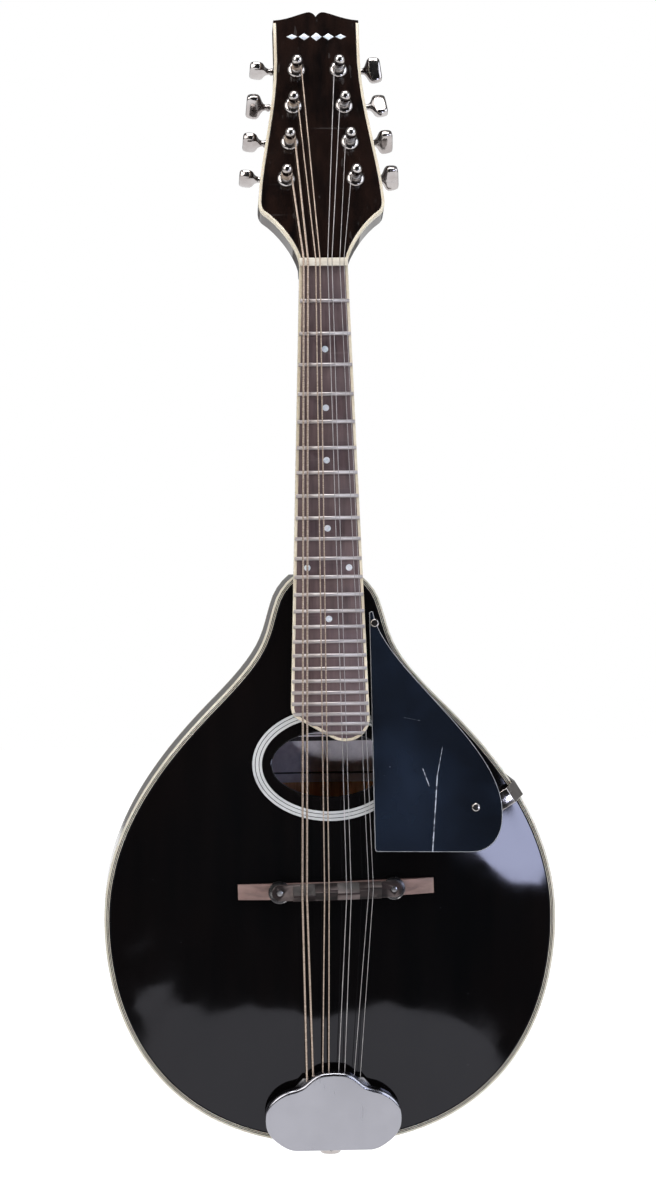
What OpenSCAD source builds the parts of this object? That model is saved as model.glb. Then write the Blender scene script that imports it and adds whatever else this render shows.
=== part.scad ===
// Teardrop mandolin: arched top and back, oval sound hole, eight strings.
// The strings face -Y and the head points up +Z. The origin is on the
// fretboard's face at the nut, on the centre line, where a wall yoke holds it.

/* [Neck and scale] */
// Free string length from the nut to the bridge
scale_len = 350; // [335:1:365]
// Lean of the neck behind the plane of the body, in degrees
neck_angle = 4.5; // [4:0.1:5]
// Width of the fretboard at the nut
nut_w = 27.2; // [26:0.1:33]
// Width of the fretboard at the body joint
joint_w = 38.8; // [36:0.1:42]
// Thickness of the fretboard
board_t = 5.5; // [4.5:0.1:6.5]
// Number of frets
fret_count = 24; // [20:1:24]
// Height of a fret above the board
fret_h = 0.9; // [0.7:0.1:1.1]
// Depth of the neck behind the fretboard at the nut
neck_t = 14.5; // [12:0.5:18]
// Thickness of the nut along the strings
nut_t = 4.4; // [3:0.1:6]

/* [Body] */
// Greatest width of the body
body_w = 255; // [212:1:306]
// Length of the body from the neck joint to the tail
body_l = 321; // [300:1:385]
// Depth of the body at its edge, front to back
body_depth = 50; // [42:1:60]
// Rise of the carved top above its edge
top_arch = 12.5; // [9:0.1:13]
// Rise of the carved back behind its edge
back_arch = 11; // [8:0.1:16]
// Thickness of the top and back plates
plate_t = 4.5; // [3.5:0.1:5.5]
// Thickness of the bent sides
rib_t = 2.2; // [1.6:0.1:3]
// Width of the binding around the top and back
binding_w = 3.4; // [2:0.1:4]
// Half width of the sound hole
hole_a = 32.5; // [28:0.5:36]
// Half height of the sound hole
hole_b = 18.5; // [15:0.5:20]
// Width of the rosette ring
rosette_w = 5.4; // [4:0.1:7]

/* [Head] */
// Lean of the head behind the neck, in degrees
head_angle = 16; // [13:0.5:17]
// Length of the head from the nut to its crest
head_len = 156; // [150:1:162]
// Thickness of the head without its veneer
head_t = 14; // [12:0.5:17]
// Thickness of the head veneer
veneer_t = 1.5; // [1:0.1:2]
// Distance between neighbouring tuner posts
post_gap = 23; // [22:0.1:24]
// Radius of a tuner post
post_r = 3; // [2.6:0.1:3.2]
// Number of teeth on a post's wheel
gear_teeth = 16; // [14:1:18]

/* [Bridge and tailpiece] */
// Length of the bridge base
bridge_l = 110; // [100:1:120]
// Distance between the two bridge studs
stud_gap = 64; // [62:1:70]
// Radius of a thumbwheel
wheel_r = 6.4; // [5:0.1:7]
// Distance of the bridge's middle from the centre line, towards the treble side
bridge_x = 2.5; // [0:0.1:4]
// Width of the tailpiece cover
cover_w = 77; // [70:1:84]
// Lean of the tailpiece off the top, in degrees
tail_angle = 11; // [9:0.5:13]
// Radius of the end pin's head
pin_r = 6; // [5:0.1:7]
// Thickness of the pickguard
guard_t = 2.5; // [1.5:0.1:3]

/* [Hidden] */
$fn = 48;
eps = 0.01;
run_gap = 0.05;          // radial clearance of a turning shaft
joint_gap = 0.1;         // clearance round the dovetail
mesh_gap = 0.2;          // clearance between worm and wheel
half_w = body_w / 2;
joint_d = scale_len / 2; // the body meets the neck at the twelfth fret
joint_z = joint_d * cos(neck_angle);
body_end = joint_z + body_l;
neck_rise = 5.7;         // the board's underside stands this far off the top
top_y = board_t / cos(neck_angle) - joint_z * tan(neck_angle) + neck_rise;
back_y = top_y + body_depth;
mid_y = (top_y + back_y) / 2;
bridge_z = scale_len * cos(neck_angle);
hole_z = bridge_z - 69.3;
lining_w = 6;
lining_h = 8;
board_len = fret_at(fret_count) + 4.5;
string_line = fret_h + 0.4;  // height of the strings over the board at the nut
string_rise = 2.8;           // further height gained at the bridge
string_r = [0.51, 0.51, 0.33, 0.33, 0.19, 0.19, 0.14, 0.14];
pearl_t = 1.2;
head_drop = 2.5;             // the head's face lies this far below the board's
row_x = 15.85;
row_v = head_len * 0.5423;
row_tilt = 6.3;
rim_w = 1.6;                 // head and board binding
bush_r = 5;
bush_h = 1.6;
plate_back = head_drop + veneer_t + head_t;
tuner_t = 1.2;
gear_r = 4.3;
worm_r = 2.1;
worm_gap = gear_r + worm_r + mesh_gap;
shaft_r = 1.6;
gear_y = plate_back + tuner_t + worm_r + mesh_gap;  // depth of the worm shafts
gear_t = 2.6;
post_top = 12.5;
post_waist = 1.7;            // height of the windings in front of the nut plane
button_in = 16;
button_len = 10.8;
button_turn = [90, 57, 84, 90, 4, -20, 66, 56];
course_nut = 6.8;
pair_nut = 2.4;
course_bridge = 12.35;
pair_bridge = 2.5;
course_tail = 8.75;
pair_tail = 3.5;
base_d = 8.5;
stud_r = 1.8;
crest = neck_point([0, -(string_line + string_rise), -scale_len]);
saddle_top = crest.y;
saddle_low = saddle_top + 8.25;
wheel_t = 2;
wheel_travel = 1.2;
base_top = saddle_low + 0.1 + wheel_t + wheel_travel + mesh_gap;
crest_step = [-1.6, 0.9, -1.1, 1.5];
tail_lift = 1.4;
hook_z = 37;
hook_y = 3;
cover_gap = 6.4;
sheet_t = 0.8;
guard_drop = 2.4;
guard_in = joint_w / 2 + 3.4;
ornament_v = head_len - 16;

// ---- curves and places ----

function fret_at(n) = scale_len * (1 - pow(2, -n / 12));
function bezier(p, n) = [for (i = [0 : n - 1]) let (t = i / n, s = 1 - t)
    s * s * s * p[0] + 3 * s * s * t * p[1] + 3 * s * t * t * p[2] + t * t * t * p[3]];
function ray(turn, length) = length * [cos(turn), -sin(turn)];
function mirrored(half) = [for (i = [len(half) - 2 : -1 : 0]) [-half[i].x, half[i].y]];
function lerp(a, b, t) = a + (b - a) * t;
function clamp(v, low, high) = min(max(v, low), high);
function lean(p, turn) = [p.x, p.y * cos(turn) + p.z * sin(turn),
    -p.y * sin(turn) + p.z * cos(turn)];
function neck_point(p) = lean(p, neck_angle);
function head_point(p) = neck_point(lean(p, head_angle) + [0, 0, nut_t]);
function tail_point(p) = lean(p, -tail_angle) + [0, top_y - tail_lift, -body_end];

module neck_frame() rotate([-neck_angle, 0, 0]) children();
module head_frame() neck_frame() translate([0, 0, nut_t]) rotate([-head_angle, 0, 0]) children();
module tail_frame() translate([0, top_y - tail_lift, -body_end]) rotate([tail_angle, 0, 0])
    children();
// Stands a flat shape drawn in x and z upright, from depth y over a thickness
module plan(y, depth) translate([0, y + depth, 0]) rotate([90, 0, 0]) linear_extrude(depth)
    children();
// A thin round tube through points that run downwards, with level rings
module tube(points, r, sides = 10) {
    last = len(points) - 1;
    rings = [for (p = points) for (k = [0 : sides - 1])
        p + r * [cos(360 * k / sides), sin(360 * k / sides), 0]];
    at = function (i, k) i * sides + k % sides;
    walls = flat_list([for (i = [0 : last - 1]) for (k = [0 : sides - 1])
        quad(at(i, k), at(i, k + 1), at(i + 1, k + 1), at(i + 1, k))]);
    ends = [[for (k = [sides - 1 : -1 : 0]) at(0, k)], [for (k = [0 : sides - 1]) at(last, k)]];
    polyhedron(rings, concat(walls, ends), convexity = 4);
}

// ---- body outline ----

shoulder = [joint_w / 2, -joint_z];
flank = shoulder + [10.3, -14.5];
hip = [0.4965 * half_w, -joint_z - 0.2185 * body_l];
widest = [half_w, -joint_z - 0.6 * body_l];
tail = [0, -body_end];
right_edge = concat(
    bezier([shoulder, shoulder + [2.6, -2], flank + [-2.5, 7.6], flank], 4),
    bezier([flank, flank + ray(71.6, 0.0655 * body_l), hip - ray(45, 0.134 * body_l), hip], 9),
    bezier([hip, hip + ray(45, 0.119 * body_l), widest + [0, 0.169 * body_l], widest], 12),
    bezier([widest, widest - [0, 0.209 * body_l], tail + [0.7 * half_w, 0], tail], 16),
    [tail]);
edge = concat(right_edge, mirrored(right_edge));

function edge_normal(i) = let (n = len(edge), a = edge[max(i - 1, 0)], b = edge[min(i + 1, n - 1)],
    t = (b - a) / norm(b - a)) [-t.y, t.x];
function inset_edge(d) = [for (i = [0 : len(edge) - 1]) edge[i] - d * edge_normal(i)];
plate_edge = inset_edge(binding_w);
edge_widths = [for (i = [0 : len(right_edge) - 1]) [plate_edge[i].y, plate_edge[i].x]];

module body_shape(inset = 0) polygon(inset == 0 ? edge : inset_edge(inset));
module body_ring(outer, inner) difference() {
    body_shape(outer);
    offset(delta = -(inner - outer)) body_shape(outer);
}

// ---- arching: a long arch times a cross arch, flat at the edge ----

arch_power = 1.25;
function arch(c) = pow(max(c, 0), arch_power);
function long_arch(z) = let (d = -z - joint_z, top = bridge_z - joint_z,
    end = body_l - binding_w - top)
    d < top ? arch(sin(90 * clamp(d / top, 0, 1))) : arch(cos(90 * clamp((d - top) / end, 0, 1)));
function cross_arch(x, z) = arch(cos(90 * min(1, abs(x) / max(lookup(z, edge_widths), 0.1))));
function rise_at(x, z, peak) = peak * long_arch(z) * cross_arch(x, z);

plate_rings = 9;
function ring_point(i, k) = let (p = plate_edge[i],
    spine = [0, clamp(p.y, -body_end + 75, -joint_z - 28)]) lerp(p, spine, 0.94 * k / (plate_rings - 1));
function quad(a, b, c, d) = [[a, b, c], [a, c, d]];
function flat_list(lists) = [for (l = lists) for (f = l) f];

// An arched plate with its edge face at y = 0, its crown towards -Y
module arched_plate(peak) {
    n = len(plate_edge);
    last = plate_rings - 1;
    at = function (s, k, i) (s * plate_rings + k) * n + (i % n);
    points = [for (s = [0, 1]) for (k = [0 : last]) for (i = [0 : n - 1])
        let (p = ring_point(i, k)) [p.x, s * plate_t - (k == 0 ? 0 : rise_at(p.x, p.y, peak)), p.y]];
    rings = flat_list([for (k = [0 : last - 1]) for (i = [0 : n - 1]) concat(
        quad(at(0, k, i), at(0, k, i + 1), at(0, k + 1, i + 1), at(0, k + 1, i)),
        quad(at(1, k, i), at(1, k + 1, i), at(1, k + 1, i + 1), at(1, k, i + 1)))]);
    walls = flat_list([for (i = [0 : n - 1])
        quad(at(0, 0, i), at(1, 0, i), at(1, 0, i + 1), at(0, 0, i + 1))]);
    half = (n - 1) / 2;
    caps = flat_list([for (j = [0 : half - 1]) let (m = n - 1 - j)
        j == half - 1
            ? [[at(0, last, j), at(0, last, j + 1), at(0, last, m)],
               [at(1, last, j), at(1, last, m), at(1, last, j + 1)]]
            : concat(quad(at(0, last, j), at(0, last, j + 1), at(0, last, m - 1), at(0, last, m)),
                quad(at(1, last, j), at(1, last, m), at(1, last, m - 1), at(1, last, j + 1)))]);
    polyhedron(points, concat(rings, walls, caps), convexity = 6);
}

// A ring of the top's surface between two ovals, from front to back of the surface
module surface_ring(a, b, width, front, back, steps = 64) {
    at = function (s, k, i) (s * 2 + k) * steps + (i % steps);
    points = [for (s = [0, 1]) for (k = [0, 1]) for (i = [0 : steps - 1])
        let (turn = 360 * i / steps, x = (a + (1 - k) * width) * sin(turn),
            z = -hole_z + (b + (1 - k) * width) * cos(turn))
            [x, top_y - rise_at(x, z, top_arch) + (s == 0 ? front : back), z]];
    faces = flat_list([for (i = [0 : steps - 1]) concat(
        quad(at(0, 0, i), at(0, 0, i + 1), at(0, 1, i + 1), at(0, 1, i)),
        quad(at(1, 0, i), at(1, 1, i), at(1, 1, i + 1), at(1, 0, i + 1)),
        quad(at(0, 0, i), at(1, 0, i), at(1, 0, i + 1), at(0, 0, i + 1)),
        quad(at(0, 1, i), at(0, 1, i + 1), at(1, 1, i + 1), at(1, 1, i)))]);
    polyhedron(points, faces, convexity = 6);
}

module hole_shape() translate([0, -hole_z]) polygon([for (i = [0 : 63])
    [hole_a * sin(i * 5.625), hole_b * cos(i * 5.625)]]);

// ---- dovetail that joins the neck to the body ----

tenon_l = 13;
module tenon(gap) plan(top_y - eps, body_depth * 0.7 + gap) polygon([
    [-8 - gap, -joint_z + 1], [8 + gap, -joint_z + 1], [8 + gap, -joint_z],
    [11 + gap, -joint_z - tenon_l - gap], [-11 - gap, -joint_z - tenon_l - gap],
    [-8 - gap, -joint_z]]);

// ---- body ----

// Inner half axes of the rosette
rosette_a = hole_a + 5.7;
rosette_b = hole_b + 7.8;
module top_plate() color("#121214") difference() {
    translate([0, top_y, 0]) arched_plate(top_arch);
    plan(top_y - top_arch - 5, top_arch + plate_t + 10) hole_shape();
    surface_ring(rosette_a, rosette_b, rosette_w, -2, pearl_t);
    tenon(joint_gap);
}

module back_plate() color("#1a1413") translate([0, back_y, 0]) mirror([0, 1, 0])
    arched_plate(back_arch);

module ribs() color("#17120f") difference() {
    plan(top_y + plate_t, body_depth - 2 * plate_t) body_ring(0, rib_t);
    tenon(joint_gap);
    translate([0, mid_y, -body_end - 1]) cylinder(r = 4.05, h = 10);
    tail_screws(1.2);
}

module inner_body() offset(delta = -rib_t) body_shape();

module neck_block() color("#c9a36b") difference() {
    plan(top_y + plate_t, body_depth - 2 * plate_t) intersection() {
        inner_body();
        translate([-30, -joint_z - 42]) square([60, 42]);
    }
    tenon(joint_gap);
}

module tail_block() color("#c9a36b") difference() {
    plan(top_y + plate_t, body_depth - 2 * plate_t) intersection() {
        inner_body();
        translate([-32, -body_end]) square([64, 20]);
    }
    end_pin_shape();
    tail_screws(1.2);
}

module lining(y) plan(y, lining_h) difference() {
    body_ring_inner();
    translate([-31, -joint_z - 43]) square([62, 44]);
    translate([-33, -body_end]) square([66, 21]);
}
module body_ring_inner() difference() {
    inner_body();
    offset(delta = -rib_t - lining_w) body_shape();
}
module lining_front() color("#d2b07a") lining(top_y + plate_t);
module lining_back() color("#d2b07a") lining(back_y - plate_t - lining_h);

// Two braces glued lengthwise under the top
module tone_bars() color("#e0c58f") for (x = [-26, 26]) tone_bar(x);
module tone_bar(x) {
    high = 10;
    from = hole_z + 40;
    run = body_end - 32 - from;
    line = [for (i = [0 : 12]) from + run * i / 12];
    under = function (z) top_y + plate_t - rise_at(x, -z, top_arch) + 0.35;
    translate([x - 3, 0, 0]) rotate([90, 0, 90]) linear_extrude(6) polygon(concat(
        [for (z = line) [under(z), -z]],
        [for (i = [12 : -1 : 0]) [under(line[i]) + max(2, high * pow(sin(15 * i), 0.4)), -line[i]]]));
}

module binding(y) plan(y, plate_t) difference() {
    body_shape();
    polygon(plate_edge);
}
module binding_front() color("#c9c6c2") difference() {
    binding(top_y);
    tenon(joint_gap);
}
module binding_back() color("#c9c6c2") binding(back_y - plate_t);

module rosette() color("#dcdcdc")
    surface_ring(rosette_a, rosette_b, rosette_w, 0, pearl_t);

// Paper label glued to the inside of the back
label_w = 80;
label_h = 46;
module label() color("#b9b3c6") {
    nx = 8;
    nz = 5;
    at = function (s, i, j) (s * (nz + 1) + j) * (nx + 1) + i;
    points = [for (s = [0, 1]) for (j = [0 : nz]) for (i = [0 : nx])
        let (x = label_w * (i / nx - 0.5), z = -hole_z - 15 + label_h * j / nz)
            [x, back_y - plate_t + rise_at(x, z, back_arch) - 0.1 - 0.4 * (1 - s), z]];
    skin = flat_list([for (j = [0 : nz - 1]) for (i = [0 : nx - 1]) concat(
        quad(at(0, i, j), at(0, i, j + 1), at(0, i + 1, j + 1), at(0, i + 1, j)),
        quad(at(1, i, j), at(1, i + 1, j), at(1, i + 1, j + 1), at(1, i, j + 1)))]);
    ends = flat_list([for (j = [0 : nz - 1]) concat(
        quad(at(0, 0, j), at(1, 0, j), at(1, 0, j + 1), at(0, 0, j + 1)),
        quad(at(0, nx, j), at(0, nx, j + 1), at(1, nx, j + 1), at(1, nx, j)))]);
    sides = flat_list([for (i = [0 : nx - 1]) concat(
        quad(at(0, i, 0), at(0, i + 1, 0), at(1, i + 1, 0), at(1, i, 0)),
        quad(at(0, i, nz), at(1, i, nz), at(1, i + 1, nz), at(0, i + 1, nz)))]);
    polyhedron(points, concat(skin, ends, sides), convexity = 4);
}

// ---- neck ----

board_taper = (joint_w - nut_w) / 2 / joint_d;
function board_half(d) = nut_w / 2 + board_taper * d;
// Half-round cross-section of the neck, from its flat face to its back
function neck_section(half, front, back) = concat([[-half, front], [half, front]],
    [for (i = [0 : 12]) [half * cos(15 * i), front + 2 + (back - front - 2) * pow(sin(15 * i), 0.9)]]);
module neck_slice(d, back, narrow = 0) translate([0, 0, -d]) linear_extrude(eps)
    polygon(neck_section(board_half(max(d, 0)) - narrow - 0.2, board_t, back));

heel_steps = [[joint_d - 42, 7.9], [joint_d - 30, 11], [joint_d - 22, 20], [joint_d - 17, 34],
    [joint_d - 12, body_depth + 14], [joint_d + 1, body_depth + 14]];
module neck_shaft() {
    hull() {
        neck_slice(-nut_t, board_t + neck_t);
        neck_slice(heel_steps[0][0], board_t + neck_t + 2);
    }
    heel();
}
module heel() for (i = [0 : len(heel_steps) - 2]) hull() {
    neck_slice(heel_steps[i][0], board_t + heel_steps[i][1] + 8.6, i * 0.2);
    neck_slice(heel_steps[i + 1][0], board_t + heel_steps[i + 1][1] + 8.6, (i + 1) * 0.2);
}
module body_space() translate([-60, top_y - 60, -joint_z - 60]) cube([120, body_depth + 120, 60]);
cap_t = 1.6;

module neck() color("#15110f") difference() {
    union() {
        difference() {
            neck_frame() neck_shaft();
            body_space();
            translate([-40, back_y - cap_t, -joint_z - 60]) cube([80, 60, 80]);
        }
        difference() {
            tenon(0);
            neck_frame() translate([-40, -40, -joint_d - 60]) cube([80, 40 + board_t, 120]);
        }
        difference() {
            head_frame() plan(head_drop + veneer_t, head_t) head_shape(-5);
            neck_frame() translate([-50, -20, -60]) cube([100, 20 + board_t, 60 + nut_t]);
        }
    }
    head_frame() plan(head_drop, veneer_t + rim_depth) head_rim();
    neck_frame() rod_shape(0);
    for (i = [0 : 7]) at_post(i) {
        translate([0, 0, -plate_back - 1]) cylinder(r = post_r + 0.3, h = plate_back + 5);
        translate([0, 0, -head_drop - 8]) cylinder(r = bush_r - 0.8, h = 12);
    }
    for (side = [-1, 1]) tuner_row(side) at_screws(plate_back + 1) cylinder(r = 1.1, h = 8, $fn = 24);
}

module heel_cap() color("#d8cfb8") intersection() {
    neck_frame() heel();
    translate([-40, back_y - cap_t + eps, -joint_z]) cube([80, cap_t - eps, 60]);
}

rod_r = 2.6;
module rod_shape(gap) translate([0, board_t + 1.5 + rod_r, -joint_d + 14 + gap])
    cylinder(r = rod_r - gap, h = joint_d - 24 - 2 * gap);
module truss_rod() color("#8a8d91") neck_frame() rod_shape(0.15);

function board_end_curve() = let (low = -board_len) concat(
    bezier([[board_half(254), low + 13], [board_half(254), low + 9],
        [20.5, low + 5.5], [16.5, low + 2.5]], 5),
    bezier([[16.5, low + 2.5], [12, low - 0.9], [5.5, low - 0.6], [1.2, low + 1.8]], 6),
    [[1.2, low + 1.8], [-14.2, low + 10.6]],
    bezier([[-14.2, low + 10.6], [-17.5, low + 12.4],
        [-board_half(248), low + 14], [-board_half(248), low + 19]], 5));
module board_shape() intersection() {
    board_outline();
    translate([-40, -300]) square([80, 300]);
}
module board_outline() polygon(concat([[-board_half(-4), 4], [board_half(-4), 4]],
    board_end_curve(), [[-board_half(248), -board_len + 19]]));
module board_core() intersection() {
    offset(delta = -rim_w) board_outline();
    translate([-40, -300]) square([80, 300]);
}
module fret_tangs(gap) for (n = [1 : fret_count])
    translate([-40, -eps, -fret_at(n) - 0.3 - gap]) cube([80, 1.9 + gap, 0.6 + 2 * gap]);

module fretboard() color("#3b2c2f") neck_frame() difference() {
    plan(0, board_t) board_core();
    fret_tangs(0.02);
    marker_discs(1);
}

module fretboard_binding() color("#ddd3bd") neck_frame() plan(0, board_t) difference() {
    board_shape();
    board_core();
}

module frets() color("#c8c9cc") neck_frame() {
    intersection() {
        for (n = [1 : fret_count]) translate([-40, 0.2, -fret_at(n)]) rotate([0, 90, 0])
            cylinder(r = fret_h + 0.2, h = 80, $fn = 32);
        plan(-2, 2) offset(delta = -0.3) board_shape();
    }
    intersection() {
        fret_tangs(0);
        plan(0, 3) board_core();
    }
}

marker_frets = [3, 5, 7, 10, 15];
marker_r = 1.8;
module marker_discs(front) {
    for (n = marker_frets) marker_disc(0, n, front);
    for (x = [-11.7, 11.7]) marker_disc(x, 12, front);
}
module marker_disc(x, n, front) translate([x, pearl_t, -(fret_at(n) + fret_at(n - 1)) / 2])
    rotate([90, 0, 0]) cylinder(r = marker_r, h = pearl_t + front);
module position_markers() color("#c7ced6") neck_frame() marker_discs(0);

module nut() color("#d9d0b8") neck_frame() difference() {
    translate([-nut_w / 2, -string_line - 0.6, 0]) cube([nut_w, board_t + string_line + 0.6, nut_t]);
    for (i = [0 : 7]) translate([string_x(i, course_nut, pair_nut), -string_line - string_r[i], -1])
        cylinder(r = string_r[i] + 0.03, h = nut_t + 2, $fn = 16);
    for (i = [0 : 7]) translate([string_x(i, course_nut, pair_nut) - string_r[i] - 0.03,
        -string_line - string_r[i] - 2, -1]) cube([2 * string_r[i] + 0.06, 2, nut_t + 2]);
}

module extension_support() color("#1b1514") {
    from = joint_z + 0.2;
    run = 70;
    steps = 8;
    under = function (z) board_t / cos(neck_angle) - z * tan(neck_angle) + 0.02;
    over = function (z) top_y - rise_at(0, -z, top_arch) - 0.05;
    difference() {
        translate([-15.5, 0, 0]) rotate([90, 0, 90]) linear_extrude(31) polygon(concat(
            [for (i = [0 : steps]) let (z = from + run * i / steps) [under(z), -z]],
            [for (i = [steps : -1 : 0]) let (z = from + run * i / steps) [over(z), -z]]));
        tenon(joint_gap);
    }
}

// ---- head ----

function head_edge(low) = let (top = head_len - 5.5) concat(
    [[nut_w / 2, low]],
    bezier([[nut_w / 2 + 0.2, 0], [15.6, 9], [24.5, 23], [33.6, 29.5]], 8),
    bezier([[33.6, 29.5], [35.4, 31.2], [36, 34], [35.7, 37.5]], 4),
    bezier([[35.7, 37.5], [34.2, 63], [25.4, 93], [24.6, 124]], 8),
    [[24.6, 124]],
    bezier([[24.6, top], [16, top + 0.6], [12, top + 3.4], [5.2, top + 5.2]], 6),
    bezier([[5.2, top + 5.2], [2.6, top + 5.8], [1.2, top + 4.4], [0, top + 2.4]], 4),
    [[0, top + 2.4]]);
module head_shape(low) polygon(concat(head_edge(low), mirrored(head_edge(low))));
rim_depth = 2.5;
module head_rim() intersection() {
    difference() {
        head_shape(-20);
        offset(delta = -rim_w) head_shape(-20);
    }
    translate([-50, -20]) square([100, 20 + head_len - 7.2]);
}
module nut_space() neck_frame() translate([-50, -20, -60]) cube([100, 20 + board_t, 60 + nut_t]);

module head_veneer() color("#0e0e10") difference() {
    head_frame() plan(head_drop, veneer_t) difference() {
        head_shape(-3);
        head_rim();
    }
    nut_space();
    for (i = [0 : 7]) at_post(i) translate([0, 0, -10]) cylinder(r = bush_r - 0.8, h = 12);
    head_frame() plan(head_drop - 1, 1.7) ornament_shape();
}
module head_binding() color("#cdbfa4") difference() {
    head_frame() plan(head_drop, veneer_t + rim_depth) intersection() {
        head_rim();
        head_shape(-3);
    }
    nut_space();
}
// A plain row of lozenges let into the head
module ornament_shape() for (i = [-2 : 2]) translate([i * 7, ornament_v])
    polygon([[-3.1, 0], [0, 2.6 - 0.5 * abs(i)], [3.1, 0], [0, -2.6 + 0.5 * abs(i)]]);
module head_ornament() color("#b8c4da") head_frame() plan(head_drop, 0.7) ornament_shape();

// ---- tuning machines: 0 to 3 on the bass side from the top, 4 to 7 on the treble ----

function post_u(i) = (1.5 - (i % 4)) * post_gap;
function post_side(i) = i < 4 ? -1 : 1;
function post_xv(i) = [post_side(i) * (row_x - post_u(i) * sin(row_tilt)), row_v + post_u(i) * cos(row_tilt)];
module tuner_row(side) head_frame() translate([side * row_x, 0, row_v]) rotate([0, -side * row_tilt, 0])
    mirror([side < 0 ? 1 : 0, 0, 0]) children();
module at_post(i) head_frame() translate([post_xv(i).x, 0, post_xv(i).y])
    rotate([0, -post_side(i) * row_tilt, 0]) rotate([90, 0, 0]) children();
// A worm shaft's own frame: +X runs out along the shaft to its button
module at_worm(i) tuner_row(post_side(i)) translate([0, gear_y, post_u(i) + worm_gap]) children();

plate_w = 13;
plate_low = -44;
plate_high = 50;
screw_spots = [[-3.6, -40.5], [-3.6, -17.5], [-3.6, 5.5], [-3.6, 28.5], [0, 46]];
module at_screws(y) for (p = screw_spots) translate([p.x, y, p.y]) rotate([90, 0, 0]) children();

module tuner_plate(side) tuner_row(side) difference() {
    union() {
        plan(plate_back, tuner_t) hull() for (u = [plate_low + 4, plate_high - 4]) for (x = [-1, 1])
            translate([x * (plate_w / 2 - 4), u]) circle(r = 4);
        for (i = [0 : 3]) for (x = [-5.2, 4.2])
            translate([x, plate_back + tuner_t - eps, post_u(i) + worm_gap - 2.4]) cube([1, 5, 4.8]);
    }
    for (i = [0 : 3]) {
        translate([0, plate_back + 5, post_u(i)]) rotate([90, 0, 0]) cylinder(r = post_r + run_gap, h = 10);
        translate([-6, gear_y, post_u(i) + worm_gap]) rotate([0, 90, 0])
            cylinder(r = shaft_r + run_gap, h = 12);
    }
    at_screws(plate_back + 5) cylinder(r = 1.2, h = 10, $fn = 24);
}
module tuner_plate_bass() color("#b9bbbf") tuner_plate(-1);
module tuner_plate_treble() color("#b9bbbf") tuner_plate(1);

module tuner_screws() color("#a9abaf") for (side = [-1, 1]) tuner_row(side) {
    at_screws(plate_back + tuner_t + 0.9) cylinder(r1 = 1.6, r2 = 2.1, h = 0.9, $fn = 24);
    at_screws(plate_back + tuner_t + 0.1) cylinder(r = 1.1, h = 7, $fn = 24);
}

module tuner_bushings() color("#c9cbd0") for (i = [0 : 7]) at_post(i) difference() {
    rotate_extrude() polygon([[0, -head_drop - 7.8], [bush_r - 0.8, -head_drop - 7.8],
        [bush_r - 0.8, -head_drop], [bush_r, -head_drop], [bush_r, -head_drop + 0.7], [bush_r - 0.7, -head_drop + 1.3],
        [post_r + 0.6, -head_drop + bush_h], [0, -head_drop + bush_h]]);
    translate([0, 0, -20]) cylinder(r = post_r + run_gap, h = 30);
}

module gear_shape() polygon([for (i = [0 : gear_teeth - 1]) for (k = [0 : 3])
    let (turn = 360 * (i + [-0.3, -0.16, 0.16, 0.3][k]) / gear_teeth,
        r = k == 1 || k == 2 ? gear_r : gear_r - 0.8)
        r * [cos(turn), sin(turn)]]);

// The post with its wheel and the screw that holds the wheel on
module post(i) color("#c4c6cb") at_post(i) {
    difference() {
        rotate_extrude() polygon([[0, -gear_y], [post_r, -gear_y], [post_r, -0.3],
            [post_r - 0.2, 0.2], [post_r - 0.7, 1], [post_r - 0.75, 3.4],
            [post_r - 0.5, 5.6], [post_r, 7.4], [post_r, 10.4], [post_r - 0.4, 11.5], [post_r - 1.4, post_top - 0.2], [0, post_top]]);
        translate([0, 0, 3.2]) rotate([0, 90, 0]) cylinder(r = 0.7, h = 10, center = true, $fn = 16);
    }
    translate([0, 0, -gear_y - gear_t / 2]) linear_extrude(gear_t) gear_shape();
    translate([0, 0, -gear_y - gear_t / 2 - 1]) cylinder(r = 2.2, h = 1.1, $fn = 24);
}

function turn_ring(n, x0, x1, r0, r1) = [for (i = [0 : n - 1]) for (k = [0, 1, 2, 3])
    [[r0, r1, r1, r0][k], x0 + (x1 - x0) * (i + [0.1, 0.35, 0.65, 0.9][k]) / n]];
module button(i) color("#b4b6bb") at_worm(i) {
    rotate([0, 90, 0]) rotate_extrude($fn = 32) polygon(concat(
        [[0, -7], [shaft_r, -7], [shaft_r, -3.4]], turn_ring(4, -3.4, 3.4, shaft_r - 0.1, worm_r),
        [[shaft_r, 3.4], [shaft_r, button_in + 1], [0, button_in + 1]]));
    rotate([button_turn[i], 0, 0]) button_head();
}
// Flared button, broad across its face and thin from the side
module button_head() intersection() {
    plan(-4, 8) polygon([[button_in, -2.6], [button_in, 2.6], [button_in + 3.6, 7],
        [button_in + 5, 7.8], [button_in + 9.2, 7.4], [button_in + button_len - 0.4, 6.4],
        [button_in + button_len, 5], [button_in + button_len, -5], [button_in + button_len - 0.4, -6.4],
        [button_in + 9.2, -7.4], [button_in + 5, -7.8], [button_in + 3.6, -7]]);
    translate([0, 0, -9]) linear_extrude(18) polygon([[button_in, -2.1], [button_in + 4, -3],
        [button_in + 9, -3], [button_in + button_len, -2.2], [button_in + button_len, 2.2],
        [button_in + 9, 3], [button_in + 4, 3], [button_in, 2.1]]);
}

module post_1() post(0);
module post_2() post(1);
module post_3() post(2);
module post_4() post(3);
module post_5() post(4);
module post_6() post(5);
module post_7() post(6);
module post_8() post(7);
module button_1() button(0);
module button_2() button(1);
module button_3() button(2);
module button_4() button(3);
module button_5() button(4);
module button_6() button(5);
module button_7() button(6);
module button_8() button(7);

// ---- bridge ----

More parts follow.
